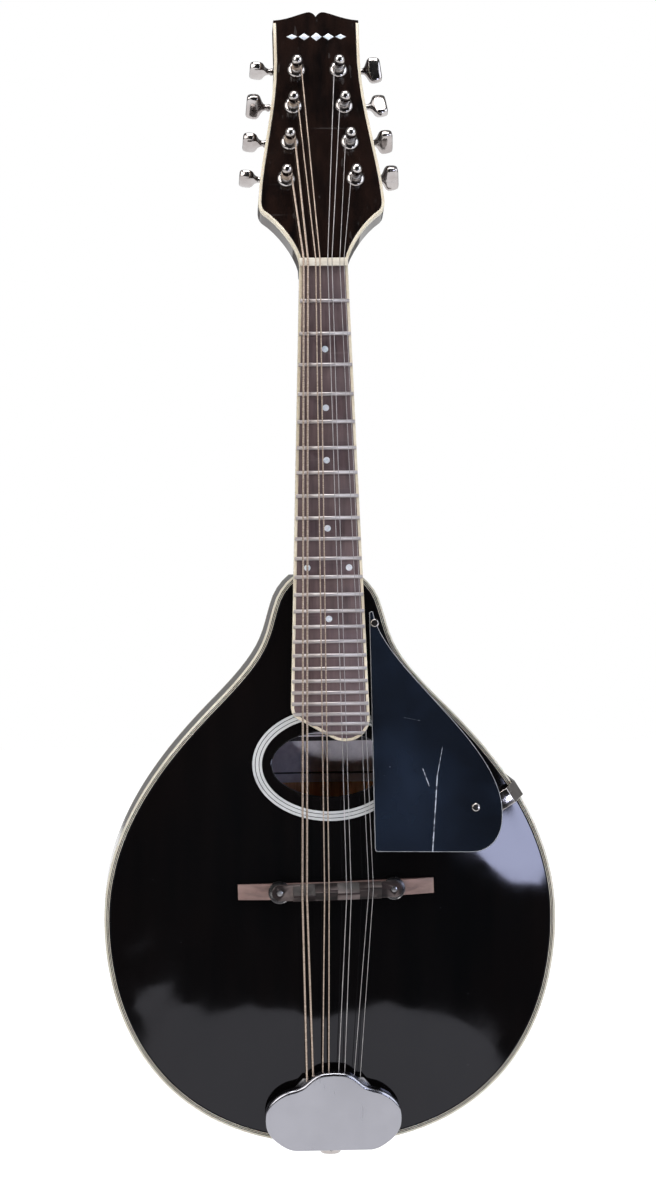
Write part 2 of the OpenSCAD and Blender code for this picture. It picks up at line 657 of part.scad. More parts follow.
bridge_skew = 1.2;
module bridge_frame() translate([bridge_x, 0, -bridge_z - 0.6]) rotate([0, -bridge_skew, 0]) children();
function base_low(x) = let (open = 14) top_y - rise_at(x + bridge_x, -bridge_z, top_arch) - 0.12
    - (abs(x) < open ? 1.8 * (1 - pow(x / open, 2)) : 0);
module bridge_base() color("#5b4140") bridge_frame() difference() {
    end = bridge_l / 2;
    pad = stud_gap / 2 + 5;
    steps = 28;
    translate([0, 0, -base_d / 2]) linear_extrude(base_d) polygon(concat(
        [for (i = [0 : steps]) let (x = -end + bridge_l * i / steps) [x, base_low(x)]],
        [[end, base_low(end) - 3], [pad, base_top], [-pad, base_top], [-end, base_low(end) - 3]]));
    stud_rods(stud_r);
}
module stud_rods(r) for (x = [-1, 1]) translate([x * stud_gap / 2, base_top + 4, 0])
    rotate([90, 0, 0]) cylinder(r = r, h = base_top + 4 - saddle_low + 3);
module bridge_studs() color("#b8b9bb") bridge_frame() stud_rods(stud_r);

module saddle_course(k) {
    width = course_bridge;
    step = crest_step[k];
    translate([(k - 2) * width - eps, 0, 0]) rotate([90, 0, 90]) linear_extrude(width + 2 * eps)
        polygon([[saddle_low, -4.6], [saddle_low, 4.6], [saddle_low - 2.5, 4.6],
            [saddle_top + 0.02, step + 0.5], [saddle_top + 0.02, step - 0.5], [saddle_low - 2.5, -5.0]]);
}
module bridge_saddle() color("#2b1f20") bridge_frame() difference() {
    union() {
        for (k = [0 : 3]) saddle_course(k);
        for (x = [-1, 1]) plan(saddle_low - 3.4, 3.4) hull() {
            translate([x * stud_gap / 2, 0]) circle(r = 4.4);
            translate([x * (2 * course_bridge - 2), 0]) square([4, 8.8], center = true);
        }
    }
    for (x = [-1, 1]) translate([x * stud_gap / 2, saddle_low + 2, 0]) rotate([90, 0, 0])
        cylinder(r = stud_r + run_gap, h = 20);
}
module thumbwheel(x) color("#8b8d91") bridge_frame()
    translate([x * stud_gap / 2, saddle_low + wheel_t + 0.1, 0]) rotate([90, 0, 0]) difference() {
        cylinder(r = wheel_r, h = wheel_t);
        translate([0, 0, -1]) cylinder(r = stud_r + run_gap, h = wheel_t + 2);
    }
module thumbwheel_bass() thumbwheel(-1);
module thumbwheel_treble() thumbwheel(1);

// ---- tailpiece and end pin ----

flange_w = 40;
module tailpiece_base() color("#9d9fa4") {
    tail_frame() plan(-sheet_t - 0.4, sheet_t + 0.4) polygon([[-19, -0.2], [19, -0.2], [27, 12],
        [27, 28], [17, 40], [-17, 40], [-27, 28], [-27, 12]]);
    difference() {
        translate([-19, top_y - tail_lift, -body_end - 1.3]) cube([38, 13, 1.2]);
        tail_screws(1.3);
    }
    tail_frame() for (i = [0 : 7])
        translate([string_x(i, course_tail, pair_tail), 0, hook_z]) rotate([90, 0, 0]) {
            translate([0, 0, 1]) cylinder(r = 0.9, h = 4, $fn = 16);
            translate([0, 0, 4.9]) cylinder(r = 1.3, h = 0.6, $fn = 16);
        }
}
screw_row = [-13, 0, 13];
screw_drop = 6.6;
module tail_screws(r) for (x = screw_row)
    translate([x, top_y + screw_drop, -body_end - 2]) cylinder(r = r, h = 14, $fn = 24);
module tailpiece_screws() color("#a9abaf") for (x = screw_row)
    translate([x, top_y + screw_drop, -body_end]) {
    translate([0, 0, -2.4]) cylinder(r1 = 1.5, r2 = 2.3, h = 1.1, $fn = 24);
    translate([0, 0, -1.4]) cylinder(r = 1.2, h = 12, $fn = 24);
}

// Three-lobed cloud with a flat foot
module cover_shape() {
    s = cover_w / 77;
    translate([0, 27.6]) circle(r = 17.4, $fn = 96);
    for (x = [-s, s]) {
        translate([x * 24.3, 22.6]) circle(r = 12.6, $fn = 96);
        translate([x * 26.1, 14.4]) circle(r = 12.4, $fn = 96);
        translate([x * 19.5, 13.5]) circle(r = 15, $fn = 96);
    }
    translate([-21 * s, -1.5]) square([42 * s, 26]);
}
module tailpiece_cover() color("#a7a6b0") tail_frame() {
    plan(-cover_gap - sheet_t, sheet_t) cover_shape();
    plan(-cover_gap, cover_gap - tail_lift) intersection() {
        difference() {
            cover_shape();
            offset(delta = -sheet_t) cover_shape();
        }
        translate([-60, -10]) square([120, 41]);
    }
}

pin_cyl = 3.5;
module end_pin_shape() translate([0, mid_y, -body_end]) rotate_extrude() polygon([[0, 19], [3.2, 19], [4, 0],
    [5.6, 0], [5.6, -1.4], [3.6, -2.8], [3.6, -4.6], [pin_r, -5.6], [pin_r, -5.6 - pin_cyl],
    [pin_r - 0.8, -5.6 - pin_cyl - 0.7], [0, -5.6 - pin_cyl - 0.9]]);
module end_pin() color("#c9cbd0") end_pin_shape();

// ---- strings ----

function string_x(i, course, pair) = (floor(i / 2) - 1.5) * course + (i % 2 - 0.5) * pair;
// The post each string winds on: bass strings on the left row, treble on the right
string_post = [3, 2, 1, 0, 4, 5, 6, 7];
module string(i) {
    r = string_r[i];
    p = string_post[i];
    inner = -post_side(p) * (post_r - 0.7 + r + 0.1);
    step = crest_step[floor(i / 2)];
    points = [
        head_point([post_xv(p).x + inner, -post_waist, post_xv(p).y]),
        neck_point([string_x(i, course_nut, pair_nut), -string_line - r, nut_t]),
        neck_point([string_x(i, course_nut, pair_nut), -string_line - r, 0]),
        [bridge_x + string_x(i, course_bridge, pair_bridge), saddle_top - r, -bridge_z - 0.6 + step
            + string_x(i, course_bridge, pair_bridge) * sin(bridge_skew)],
        tail_point([string_x(i, course_tail, pair_tail), -hook_y, hook_z + 1.1 + r])];
    tube(points, r);
}
module strings() for (i = [0 : 7]) color(i < 4 ? "#b08d6a" : "#a5a6a8") string(i);

// ---- pickguard ----

function guard_edge() = concat([[guard_in, -joint_d - 20]],
    bezier([[guard_in + 2, -joint_d - 19], [30, -joint_d - 53],
        [97, -joint_d - 93], [96, -joint_d - 134]], 18),
    bezier([[96, -joint_d - 134], [96, -joint_d - 147],
        [89, -joint_d - 155], [78, -joint_d - 155]], 7),
    [[78, -joint_d - 155], [guard_in + 2, -joint_d - 154], [guard_in + 1.2, -joint_d - 153]]);
pin_places = [[guard_in + 2.9, -joint_d - 26], [81, -joint_d - 130]];
module guard_pins(r) for (p = pin_places) translate([p.x, guard_drop + guard_t + 0.5, p.y])
    rotate([90, 0, 0]) cylinder(r = r, h = guard_t + 1, $fn = 24);
module pickguard() color("#1a2130") neck_frame() difference() {
    plan(guard_drop, guard_t) polygon(guard_edge());
    guard_pins(1.3);
}
module pickguard_pins() color("#c9cbd0") neck_frame() for (p = pin_places)
    translate([p.x, guard_drop, p.y]) {
    rotate([90, 0, 0]) cylinder(r1 = 2.5, r2 = 1.9, h = 0.8, $fn = 32);
    translate([0, guard_t + 0.4, 0]) rotate([90, 0, 0]) cylinder(r = 1.3, h = guard_t + 0.5, $fn = 24);
}

// Bent strip that carries the guard: out over the edge and round the side
bracket_i = 19;
bracket_w = 9.5;
bracket_t = 1.2;
module bracket_frame() translate([edge[bracket_i].x, 0, edge[bracket_i].y])
    rotate([0, -atan2(edge_normal(bracket_i).y, edge_normal(bracket_i).x), 0]) children();
module pickguard_bracket() color("#bfc1c6") {
    guard_back = neck_point([0, guard_drop + guard_t, edge[bracket_i].y]).y;
    bracket_frame() translate([0, 0, -bracket_w / 2]) linear_extrude(bracket_w) polygon([
        [-24, guard_back + 0.9], [-5, guard_back + 2.2], [0.5 + bracket_t, top_y - 3],
        [0.5 + bracket_t, back_y + 0.4 + bracket_t], [-7, back_y + 0.4 + bracket_t], [-7, back_y + 0.4],
        [0.5, back_y + 0.4], [0.5, top_y - 2.6], [-5.4, guard_back + 2.2 + bracket_t],
        [-24, guard_back + 0.9 + bracket_t]]);
}

top_plate();
back_plate();
ribs();
neck_block();
tail_block();
lining_front();
lining_back();
tone_bars();
binding_front();
binding_back();
rosette();
label();
neck();
heel_cap();
truss_rod();
fretboard();
fretboard_binding();
frets();
position_markers();
nut();
head_veneer();
head_binding();
head_ornament();
tuner_plate_bass();
tuner_plate_treble();
tuner_bushings();
tuner_screws();
post_1();
post_2();
post_3();
post_4();
post_5();
post_6();
post_7();
post_8();
button_1();
button_2();
button_3();
button_4();
button_5();
button_6();
button_7();
button_8();
bridge_base();
bridge_studs();
bridge_saddle();
thumbwheel_bass();
thumbwheel_treble();
tailpiece_base();
tailpiece_cover();
tailpiece_screws();
end_pin();
strings();
pickguard();
pickguard_bracket();
pickguard_pins();
extension_support();
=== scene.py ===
import math
import random
from bisect import bisect_left

import bmesh
import bpy
from mathutils import Matrix, Vector
from mathutils.geometry import interpolate_bezier


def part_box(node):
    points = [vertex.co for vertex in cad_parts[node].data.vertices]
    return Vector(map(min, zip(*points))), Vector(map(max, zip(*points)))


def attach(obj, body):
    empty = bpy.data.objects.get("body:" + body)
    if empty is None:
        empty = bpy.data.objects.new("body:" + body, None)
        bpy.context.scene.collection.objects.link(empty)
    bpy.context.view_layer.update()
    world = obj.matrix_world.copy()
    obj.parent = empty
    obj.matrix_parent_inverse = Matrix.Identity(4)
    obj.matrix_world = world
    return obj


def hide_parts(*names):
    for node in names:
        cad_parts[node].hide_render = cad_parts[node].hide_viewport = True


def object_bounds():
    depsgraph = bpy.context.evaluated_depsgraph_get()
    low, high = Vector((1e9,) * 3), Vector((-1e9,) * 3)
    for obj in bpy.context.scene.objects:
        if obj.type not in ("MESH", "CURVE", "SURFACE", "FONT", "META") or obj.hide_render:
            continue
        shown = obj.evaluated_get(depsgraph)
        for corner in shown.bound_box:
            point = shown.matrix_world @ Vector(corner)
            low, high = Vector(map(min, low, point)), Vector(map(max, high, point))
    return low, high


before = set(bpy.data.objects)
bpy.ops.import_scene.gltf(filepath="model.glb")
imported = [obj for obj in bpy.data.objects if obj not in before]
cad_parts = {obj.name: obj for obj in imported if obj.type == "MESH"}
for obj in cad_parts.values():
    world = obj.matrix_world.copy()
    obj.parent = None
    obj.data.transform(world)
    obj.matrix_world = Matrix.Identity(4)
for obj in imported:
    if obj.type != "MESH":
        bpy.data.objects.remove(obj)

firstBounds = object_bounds()
print("frame loaded:", len(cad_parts), "nodes")

# shared sizes, in metres; places come from the frame
mm = 0.001
sizes = {
    "neckLean": math.radians(4.5),
    "headLean": math.radians(16),
    "tailLean": math.radians(11),
    "tailLift": 1.4 * mm,
    "scale": 350 * mm,
    "nutThick": 4.4 * mm,
    "jointHalf": 19.4 * mm,
    "bindingWide": 3.4 * mm,
    "plateThick": 4.5 * mm,
    "topArch": 12.5 * mm,
    "backArch": 11 * mm,
    "archPower": 1.05,
    "holeWide": 32.5 * mm,
    "holeHigh": 18.5 * mm,
    "holeAboveBridge": 69.3 * mm,
    "bridgeBelow": 0.6 * mm,
}
ribsLow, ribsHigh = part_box("ribs")
halfWidth, jointZ, bodyEnd = ribsHigh.x, -ribsHigh.z, -ribsLow.z
bodyLong = bodyEnd - jointZ
topY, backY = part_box("binding_front")[0].y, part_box("binding_back")[1].y
bridgeZ = sizes["scale"] * math.cos(sizes["neckLean"])
holeZ = bridgeZ - sizes["holeAboveBridge"]


def middle(node):
    low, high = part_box(node)
    return (low + high) / 2


def turn(angle, axis):
    return Matrix.Rotation(angle, 4, axis)


def shift(x, y, z):
    return Matrix.Translation((x, y, z))


def shown(name, data):
    made = bpy.data.objects.new(name, data)
    bpy.context.scene.collection.objects.link(made)
    return made


neckPlace = turn(-sizes["neckLean"], "X")
headPlace = neckPlace @ shift(0, 0, sizes["nutThick"]) @ turn(-sizes["headLean"], "X")
tailPlace = shift(0, topY - sizes["tailLift"], -bodyEnd) @ turn(sizes["tailLean"], "X")
bridgeX = (middle("thumbwheel_bass").x + middle("thumbwheel_treble").x) / 2


def alongCurve(points, count):
    # evenly spaced points along a line through the given ones
    reach = [0.0]
    for a, b in zip(points, points[1:]):
        reach.append(reach[-1] + (b - a).length)
    found = []
    for i in range(count + 1):
        want = reach[-1] * i / count
        k = min(max(bisect_left(reach, want), 1), len(points) - 1)
        part = (want - reach[k - 1]) / max(reach[k] - reach[k - 1], 1e-9)
        found.append(points[k - 1].lerp(points[k], part))
    return found


def bezierLine(knots, steps=40):
    # knots are groups of four: point, handle, handle, point
    line = []
    for a, b, c, d in knots:
        part = interpolate_bezier(a, b, c, d, steps)
        line += part if not line else part[1:]
    return line


def flat(x, z, y=0.0):
    return Vector((x, y, z))


def bodySide():
    shoulder = flat(sizes["jointHalf"], -jointZ)
    flank = shoulder + flat(10.3, -14.5) * mm
    hip = flat(0.4965 * halfWidth, -jointZ - 0.2185 * bodyLong)
    widest = flat(halfWidth, -jointZ - 0.6 * bodyLong)
    tail = flat(0, -bodyEnd)

    def ray(angle, share):
        a = math.radians(angle)
        return flat(math.cos(a), -math.sin(a)) * share * bodyLong

    return bezierLine([
        (shoulder, shoulder + flat(2.6, -2) * mm, flank + flat(-2.5, 7.6) * mm, flank),
        (flank, flank + ray(71.6, 0.0655), hip - ray(45, 0.134), hip),
        (hip, hip + ray(45, 0.119), widest + flat(0, 0.169 * bodyLong), widest),
        (widest, widest - flat(0, 0.209 * bodyLong), tail + flat(0.7 * halfWidth, 0), tail),
    ])


sideCount = 84
sideLine = alongCurve(bodySide(), sideCount)


def insetSide(inset, line):
    moved = []
    for i, p in enumerate(line):
        run = line[min(i + 1, len(line) - 1)] - line[max(i - 1, 0)]
        if i == len(line) - 1:
            run = flat(-1, 0)
        run.normalize()
        moved.append(p - flat(-run.z, run.x) * inset)
    return moved


def bodyRing(inset, y):
    # closed ring: down the treble side, up the bass side, across the shoulder
    right = insetSide(inset, sideLine)
    left = [flat(-p.x, p.z) for p in reversed(right[:-1])]
    across = [left[-1].lerp(right[0], k / 7) for k in range(1, 7)]
    return [flat(p.x, p.z, y) for p in right + left + across]


widths = sorted((p.z, p.x) for p in insetSide(sizes["bindingWide"], alongCurve(bodySide(), 400)))
widthAt = [w[0] for w in widths]


def plateHalf(z):
    k = min(max(bisect_left(widthAt, z), 1), len(widths) - 1)
    (z0, x0), (z1, x1) = widths[k - 1], widths[k]
    part = min(max((z - z0) / max(z1 - z0, 1e-9), 0), 1)
    return max(x0 + (x1 - x0) * part, 0.1 * mm)


def rise(x, z, peak):
    # a long arch times a cross arch, flat at the edge and highest under the bridge
    down, crown = -z - jointZ, bridgeZ - jointZ
    if down < crown:
        lengthwise = math.sin(math.pi / 2 * min(max(down / crown, 0), 1))
    else:
        rest = bodyLong - sizes["bindingWide"] - crown
        lengthwise = math.cos(math.pi / 2 * min((down - crown) / rest, 1))
    across = math.cos(math.pi / 2 * min(1, abs(x) / plateHalf(z)))
    return peak * (max(lengthwise, 0) * max(across, 0)) ** sizes["archPower"]


def loft(rings, rows=None, capStart=False, capEnd=False, closed=True):
    # one ring is extruded through the next; rows gives each band's material slot
    bm = bmesh.new()
    count = len(rings[0])
    place = bm.verts.layers.int.new("place")
    if closed:
        first = bmesh.ops.create_circle(bm, segments=count, radius=1)["verts"]
    else:
        first = [bm.verts.new(p) for p in rings[0]]
        for a, b in zip(first, first[1:]):
            bm.edges.new((a, b))
    for i, v in enumerate(first):
        v.co = rings[0][i]
        v[place] = i
    edges = bm.edges[:]
    if capStart:
        bmesh.ops.contextual_create(bm, geom=edges)
    for k, ring in enumerate(rings[1:]):
        grown = bmesh.ops.extrude_edge_only(bm, edges=edges)["geom"]
        points = {g for g in grown if isinstance(g, bmesh.types.BMVert)}
        for v in points:
            v.co = ring[v[place]]
        edges = [g for g in grown if isinstance(g, bmesh.types.BMEdge)
                 and g.verts[0] in points and g.verts[1] in points]
        if rows:
            for g in grown:
                if isinstance(g, bmesh.types.BMFace):
                    g.material_index = rows[k]
    if capEnd:
        made = bmesh.ops.contextual_create(bm, geom=edges)["faces"]
        if rows:
            for f in made:
                f.material_index = rows[-1]
    bmesh.ops.recalc_face_normals(bm, faces=bm.faces)
    return bm


def seamed(bm, near=1e-6):
    # seams closed, then faces turned outwards
    bmesh.ops.remove_doubles(bm, verts=bm.verts, dist=near)
    bmesh.ops.recalc_face_normals(bm, faces=bm.faces)
    return bm


def turned(profile, segments=32):
    # profile is a line of (radius, height); it is spun round +Z
    bm = bmesh.new()
    verts = [bm.verts.new((r, 0, h)) for r, h in profile]
    edges = [bm.edges.new(pair) for pair in zip(verts, verts[1:])]
    bmesh.ops.spin(bm, geom=verts + edges, cent=(0, 0, 0), axis=(0, 0, 1),
                   angle=math.tau, steps=segments, use_merge=True)
    return seamed(bm, 1e-7)


def pushedUp(bm, height):
    # the flat faces are drawn up into a slab
    grown = bmesh.ops.extrude_face_region(bm, geom=bm.faces[:], use_keep_orig=True)["geom"]
    bmesh.ops.translate(bm, vec=(0, 0, height),
                        verts=[g for g in grown if isinstance(g, bmesh.types.BMVert)])


def placed(bm, place):
    bmesh.ops.transform(bm, matrix=place, verts=bm.verts)
    if place.determinant() < 0:
        bmesh.ops.reverse_faces(bm, faces=bm.faces)
    return bm


def joined(*parts):
    # several bmeshes as one
    whole = bmesh.new()
    for part in parts:
        spare = bpy.data.meshes.new("spare")
        part.to_mesh(spare)
        part.free()
        whole.from_mesh(spare)
        bpy.data.meshes.remove(spare)
    return whole


def tube(points, radius, sides=12):
    # round tube along a line of points, closed at both ends
    rings = []
    for i, p in enumerate(points):
        run = (points[min(i + 1, len(points) - 1)] - points[max(i - 1, 0)]).normalized()
        across = run.cross(Vector((0, 1, 0.05))).normalized()
        up = across.cross(run).normalized()
        rings.append([p + radius * (math.cos(math.tau * k / sides) * across
                                    + math.sin(math.tau * k / sides) * up) for k in range(sides)])
    return loft(rings, capStart=True, capEnd=True)


def softened(node, radius, segments=2, sharpFrom=32):
    # a merged copy of a CAD node with its sharp edges rounded over
    bm = bmesh.new()
    bm.from_mesh(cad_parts[node].data)
    bmesh.ops.remove_doubles(bm, verts=bm.verts, dist=1e-6)
    bmesh.ops.dissolve_limit(bm, angle_limit=math.radians(0.6), verts=bm.verts, edges=bm.edges)
    for f in bm.faces:
        f.material_index = 0
    rounded = set()
    if radius:
        sharp = [e for e in bm.edges if e.is_manifold
                 and e.calc_face_angle(0) > math.radians(sharpFrom)]
        rounded = set(bmesh.ops.bevel(
            bm, geom=sharp, offset=radius, offset_type="OFFSET", segments=segments, profile=0.5,
            affect="EDGES", clamp_overlap=True, material=-1)["faces"])
    # tagged faces are shaded flat: those with no gently turning neighbour
    bm.normal_update()
    gentle = (math.radians(0.3), math.radians(sharpFrom))
    for f in bm.faces:
        f.tag = f not in rounded and not any(
            gentle[0] < e.calc_face_angle(0) < gentle[1] for e in f.edges
            if not rounded.intersection(e.link_faces))
    return bm


def piece(name, bm, looks, body="instrument", stands=(), smoothTo=38):
    mesh = bpy.data.meshes.new(name)
    for f in bm.faces:
        f.smooth = not f.tag
    bm.to_mesh(mesh)
    bm.free()
    for look in looks if isinstance(looks, (list, tuple)) else [looks]:
        mesh.materials.append(look)
    mesh.set_sharp_from_angle(angle=math.radians(smoothTo))
    made = shown(name, mesh)
    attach(made, body)
    if stands:
        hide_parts(*([stands] if isinstance(stands, str) else stands))
    return made


class Looks:
    # small wrapper that adds nodes to one material
    def __init__(self, name):
        self.material = bpy.data.materials.new(name)
        self.material.use_nodes = True
        self.tree = self.material.node_tree
        self.shader = self.tree.nodes["Principled BSDF"]
        self.coords = self.tree.nodes.new("ShaderNodeTexCoord").outputs["Object"]

    def add(self, kind, inputs=None, **settings):
        made = self.tree.nodes.new(kind)
        for key, value in settings.items():
            setattr(made, key, value)
        for key, value in (inputs or {}).items():
            socket = made.inputs[key]
            if isinstance(value, bpy.types.NodeSocket):
                self.tree.links.new(value, socket)
            else:
                socket.default_value = value
        return made

    def stretched(self, scale):
        return self.add("ShaderNodeMapping", {"Vector": self.coords, "Scale": scale}).outputs[0]

    def noise(self, scale, detail=4, stretch=None, roughness=0.55, distortion=0.0):
        at = self.stretched(stretch) if stretch else self.coords
        return self.add("ShaderNodeTexNoise", {"Vector": at, "Scale": scale, "Detail": detail,
                                               "Roughness": roughness,
                                               "Distortion": distortion}).outputs["Fac"]

    def spread(self, value, low, high, start=0.3, end=0.7):
        return self.add("ShaderNodeMapRange", {"Value": value, "From Min": start, "From Max": end,
                                               "To Min": low, "To Max": high}).outputs[0]

    def ramp(self, value, stops):
        made = self.add("ShaderNodeValToRGB", {"Fac": value})
        band = made.color_ramp
        while len(band.elements) < len(stops):
            band.elements.new(0.5)
        for element, (at, colour) in zip(band.elements, stops):
            element.position = at
            element.color = (*colour, 1) if len(colour) == 3 else colour
        return made.outputs["Color"]

    def blend(self, part, a, b, kind="MIX"):
        made = self.add("ShaderNodeMix", data_type="RGBA", blend_type=kind)
        for index, value in ((0, part), (6, a), (7, b)):
            if isinstance(value, bpy.types.NodeSocket):
                self.tree.links.new(value, made.inputs[index])
            else:
                made.inputs[index].default_value = value if index == 0 else (*value, 1)
        return made.outputs[2]

    def maths(self, kind, a, b=0.0):
        made = self.add("ShaderNodeMath", operation=kind)
        for index, value in ((0, a), (1, b)):
            if isinstance(value, bpy.types.NodeSocket):
                self.tree.links.new(value, made.inputs[index])
            else:
                made.inputs[index].default_value = value
        return made.outputs[0]

    def feed(self, socket, value):
        self.tree.links.new(value, self.shader.inputs[socket])

    def marks(self, lines):
        # single scratches, each from one point to another across the front, broken by noise
        place = self.add("ShaderNodeSeparateXYZ", {"Vector": self.coords}).outputs
        torn = self.spread(self.noise(420, 3), 0.15, 1, 0.38, 0.52)
        whole = 0.0
        for x0, z0, x1, z1, wide in lines:
            part = self.add("ShaderNodeMapRange", {"Value": place["Z"], "From Min": z0,
                                                   "From Max": z1}, clamp=False).outputs[0]
            middleX = self.maths("ADD", self.maths("MULTIPLY", part, x1 - x0), x0)
            off = self.maths("ABSOLUTE", self.maths("SUBTRACT", place["X"], middleX))
            near = self.spread(off, 1, 0, wide * 0.3, wide)
            ends = self.maths("COMPARE", part, 0.5)
            ends.node.inputs[2].default_value = 0.5
            mark = self.maths("MULTIPLY", near, ends)
            whole = mark if whole == 0.0 else self.maths("MAXIMUM", whole, mark)
        return self.maths("MULTIPLY", whole, torn)

    def relief(self, height, strength, distance):
        made = self.add("ShaderNodeBump", {"Height": height, "Strength": strength,
                                           "Distance": distance})
        self.feed("Normal", made.outputs[0])


def finish(name, look):
    # look: dark and light colours, grain (noise scale and stretch), rough range, bump and extras
    m = Looks(name)
    scale, stretch = look.get("grain", (60, (1, 1, 1)))
    pattern = m.noise(scale, look.get("detail", 5), stretch, distortion=look.get("warp", 0))
    low, high = look.get("spread", (0.35, 0.65))
    colour = m.ramp(pattern, [(low, look["dark"]), (high, look["light"])])
    # random patches of a second colour: real tone on most looks, painted sheen of soft blue light
    # on the pickguard
    if "mottleAndSheen" in look:
        patchScale, patchColour, patchShare = look["mottleAndSheen"]
        patch = m.spread(m.noise(patchScale, 3), 0, patchShare, 0.4, 0.68)
        colour = m.blend(patch, colour, patchColour)
    fine = m.noise(look.get("fineScale", 400), 3)
    rough = m.spread(fine, *look["rough"])
    height = m.noise(look.get("bumpScale", 500), 3, look.get("bumpStretch"))
    if "scratches" in look:
        # hairlines: two crossed, strongly stretched noises cut to thin lines
        density, depth, tone = look["scratches"]
        hair = 0.0
        for lean, long in ((0.5, (1, 1, 0.03)), (-0.8, (0.04, 1, 1))):
            at = m.add("ShaderNodeMapping", {"Vector": m.coords, "Rotation": (0, lean, 0),
                                             "Scale": long}).outputs[0]
            lines = m.add("ShaderNodeTexNoise", {"Vector": at, "Scale": density,
                                                 "Detail": 1.0}).outputs["Fac"]
            cut = m.spread(lines, 0, 1, 0.69, 0.74)
            hair = cut if hair == 0.0 else m.maths("MAXIMUM", hair, cut)
        colour = m.blend(m.maths("MULTIPLY", hair, depth), colour, tone)
        rough = m.maths("ADD", rough, m.maths("MULTIPLY", hair, depth * 1.5))
    if "specks" in look:
        size, share, tone = look["specks"]
        dots = m.add("ShaderNodeTexVoronoi", {"Vector": m.coords, "Scale": size})
        speck = m.spread(dots.outputs["Distance"], 1, 0, 0.02, 0.07)
        chosen = m.maths("GREATER_THAN", m.add("ShaderNodeSeparateColor",
                         {"Color": dots.outputs["Color"]}).outputs[0], 1 - share)
        colour = m.blend(m.maths("MULTIPLY", m.maths("MULTIPLY", speck, chosen), 0.7), colour, tone)
    if "marks" in look:
        colour = m.blend(m.marks(look["marks"]), colour, (0.42, 0.45, 0.52))
    if "wear" in look:
        tone, start, end = look["wear"]
        bare = m.add("ShaderNodeNewGeometry").outputs["Pointiness"]
        worn = m.maths("MULTIPLY", m.spread(bare, 0, 1, start, end),
                       m.spread(m.noise(90, 4), 0.2, 1))
        colour = m.blend(worn, colour, tone)
    m.feed("Base Color", colour)
    m.feed("Roughness", rough)
    m.relief(height, look.get("bump", 0.1), look.get("bumpDepth", 0.05 * mm))
    for socket, value in look.get("shader", {}).items():
        m.shader.inputs[socket].default_value = value
    return m.material


alongZ = (9, 9, 1)  # noise stretched along the strings
blackLacquer = finish("black lacquer", {
    "dark": (0.0016, 0.0017, 0.002), "light": (0.0027, 0.0024, 0.0026), "grain": (9, alongZ),
    "mottleAndSheen": (7, (0.0045, 0.0026, 0.0022), 0.4), "rough": (0.03, 0.07), "fineScale": 45,
    "bumpScale": 30, "bump": 0.1, "bumpDepth": 0.05 * mm,
    "specks": (260, 0.012, (0.1, 0.1, 0.11)),
    "shader": {"IOR": 1.39, "Specular Tint": (0.9, 0.9, 1.0, 1)}})
darkLacquer = finish("dark brown lacquer", {
    "dark": (0.006, 0.0032, 0.0025), "light": (0.022, 0.009, 0.005), "grain": (11, (14, 14, 0.9)),
    "warp": 0.6, "mottleAndSheen": (9, (0.03, 0.012, 0.006), 0.55), "rough": (0.05, 0.12),
    "fineScale": 60, "bumpScale": 50, "bump": 0.1, "scratches": (220, 0.05, (0.2, 0.17, 0.15)),
    "shader": {"IOR": 1.5}})
headLacquer = finish("head lacquer", {
    "dark": (0.003, 0.002, 0.002), "light": (0.011, 0.0055, 0.0042), "grain": (16, alongZ),
    "mottleAndSheen": (14, (0.016, 0.008, 0.006), 0.5), "rough": (0.06, 0.13), "fineScale": 70,
    "bumpScale": 60, "bump": 0.12, "scratches": (300, 0.06, (0.2, 0.2, 0.2)),
    "specks": (420, 0.03, (0.3, 0.3, 0.3)), "shader": {"IOR": 1.5}})
ivory = finish("aged ivory binding", {
    "dark": (0.47, 0.43, 0.36), "light": (0.62, 0.58, 0.5), "grain": (60, (1, 1, 1)),
    "mottleAndSheen": (30, (0.4, 0.35, 0.27), 0.4), "rough": (0.16, 0.3), "bump": 0.08,
    "shader": {"Subsurface Weight": 0.05}})
creamBinding = finish("cream binding", {
    "dark": (0.5, 0.43, 0.33), "light": (0.68, 0.61, 0.49), "grain": (70, (1, 1, 0.3)),
    "mottleAndSheen": (24, (0.42, 0.33, 0.22), 0.45), "rough": (0.2, 0.36), "bump": 0.1,
    "shader": {"Subsurface Weight": 0.05}})
rosetteWhite = finish("greyed white rosette", {
    "dark": (0.35, 0.36, 0.37), "light": (0.47, 0.48, 0.49), "grain": (80, (1, 1, 1)),
    "mottleAndSheen": (40, (0.31, 0.31, 0.3), 0.4), "rough": (0.18, 0.3), "bump": 0.08})
plyBlack = finish("black ply", {
    "dark": (0.006, 0.006, 0.007), "light": (0.014, 0.014, 0.016), "rough": (0.12, 0.22)})
spruceBare = finish("bare spruce", {
    "dark": (0.36, 0.22, 0.1), "light": (0.62, 0.45, 0.26), "grain": (34, (16, 6, 0.6)),
    "rough": (0.6, 0.8), "bumpScale": 300, "bumpStretch": (4, 4, 0.3), "bump": 0.35})
mapleBare = finish("bare maple", {
    "dark": (0.5, 0.24, 0.11), "light": (0.78, 0.47, 0.27), "grain": (30, (9, 3, 0.8)),
    "warp": 0.7, "mottleAndSheen": (18, (0.42, 0.2, 0.09), 0.5), "rough": (0.5, 0.7),
    "bumpScale": 320, "bumpStretch": (4, 4, 0.3), "bump": 0.3})
rosewood = finish("rosewood board", {
    "dark": (0.028, 0.016, 0.019), "light": (0.105, 0.066, 0.07), "grain": (30, (11, 5, 0.75)),
    "spread": (0.3, 0.72), "warp": 0.45, "mottleAndSheen": (26, (0.12, 0.085, 0.095), 0.5),
    "rough": (0.36, 0.56), "fineScale": 260, "bumpScale": 240, "bumpStretch": (5, 5, 0.35),
    "bump": 0.4, "bumpDepth": 0.12 * mm, "scratches": (420, 0.22, (0.2, 0.16, 0.16)),
    "wear": ((0.17, 0.12, 0.11), 0.54, 0.64)})
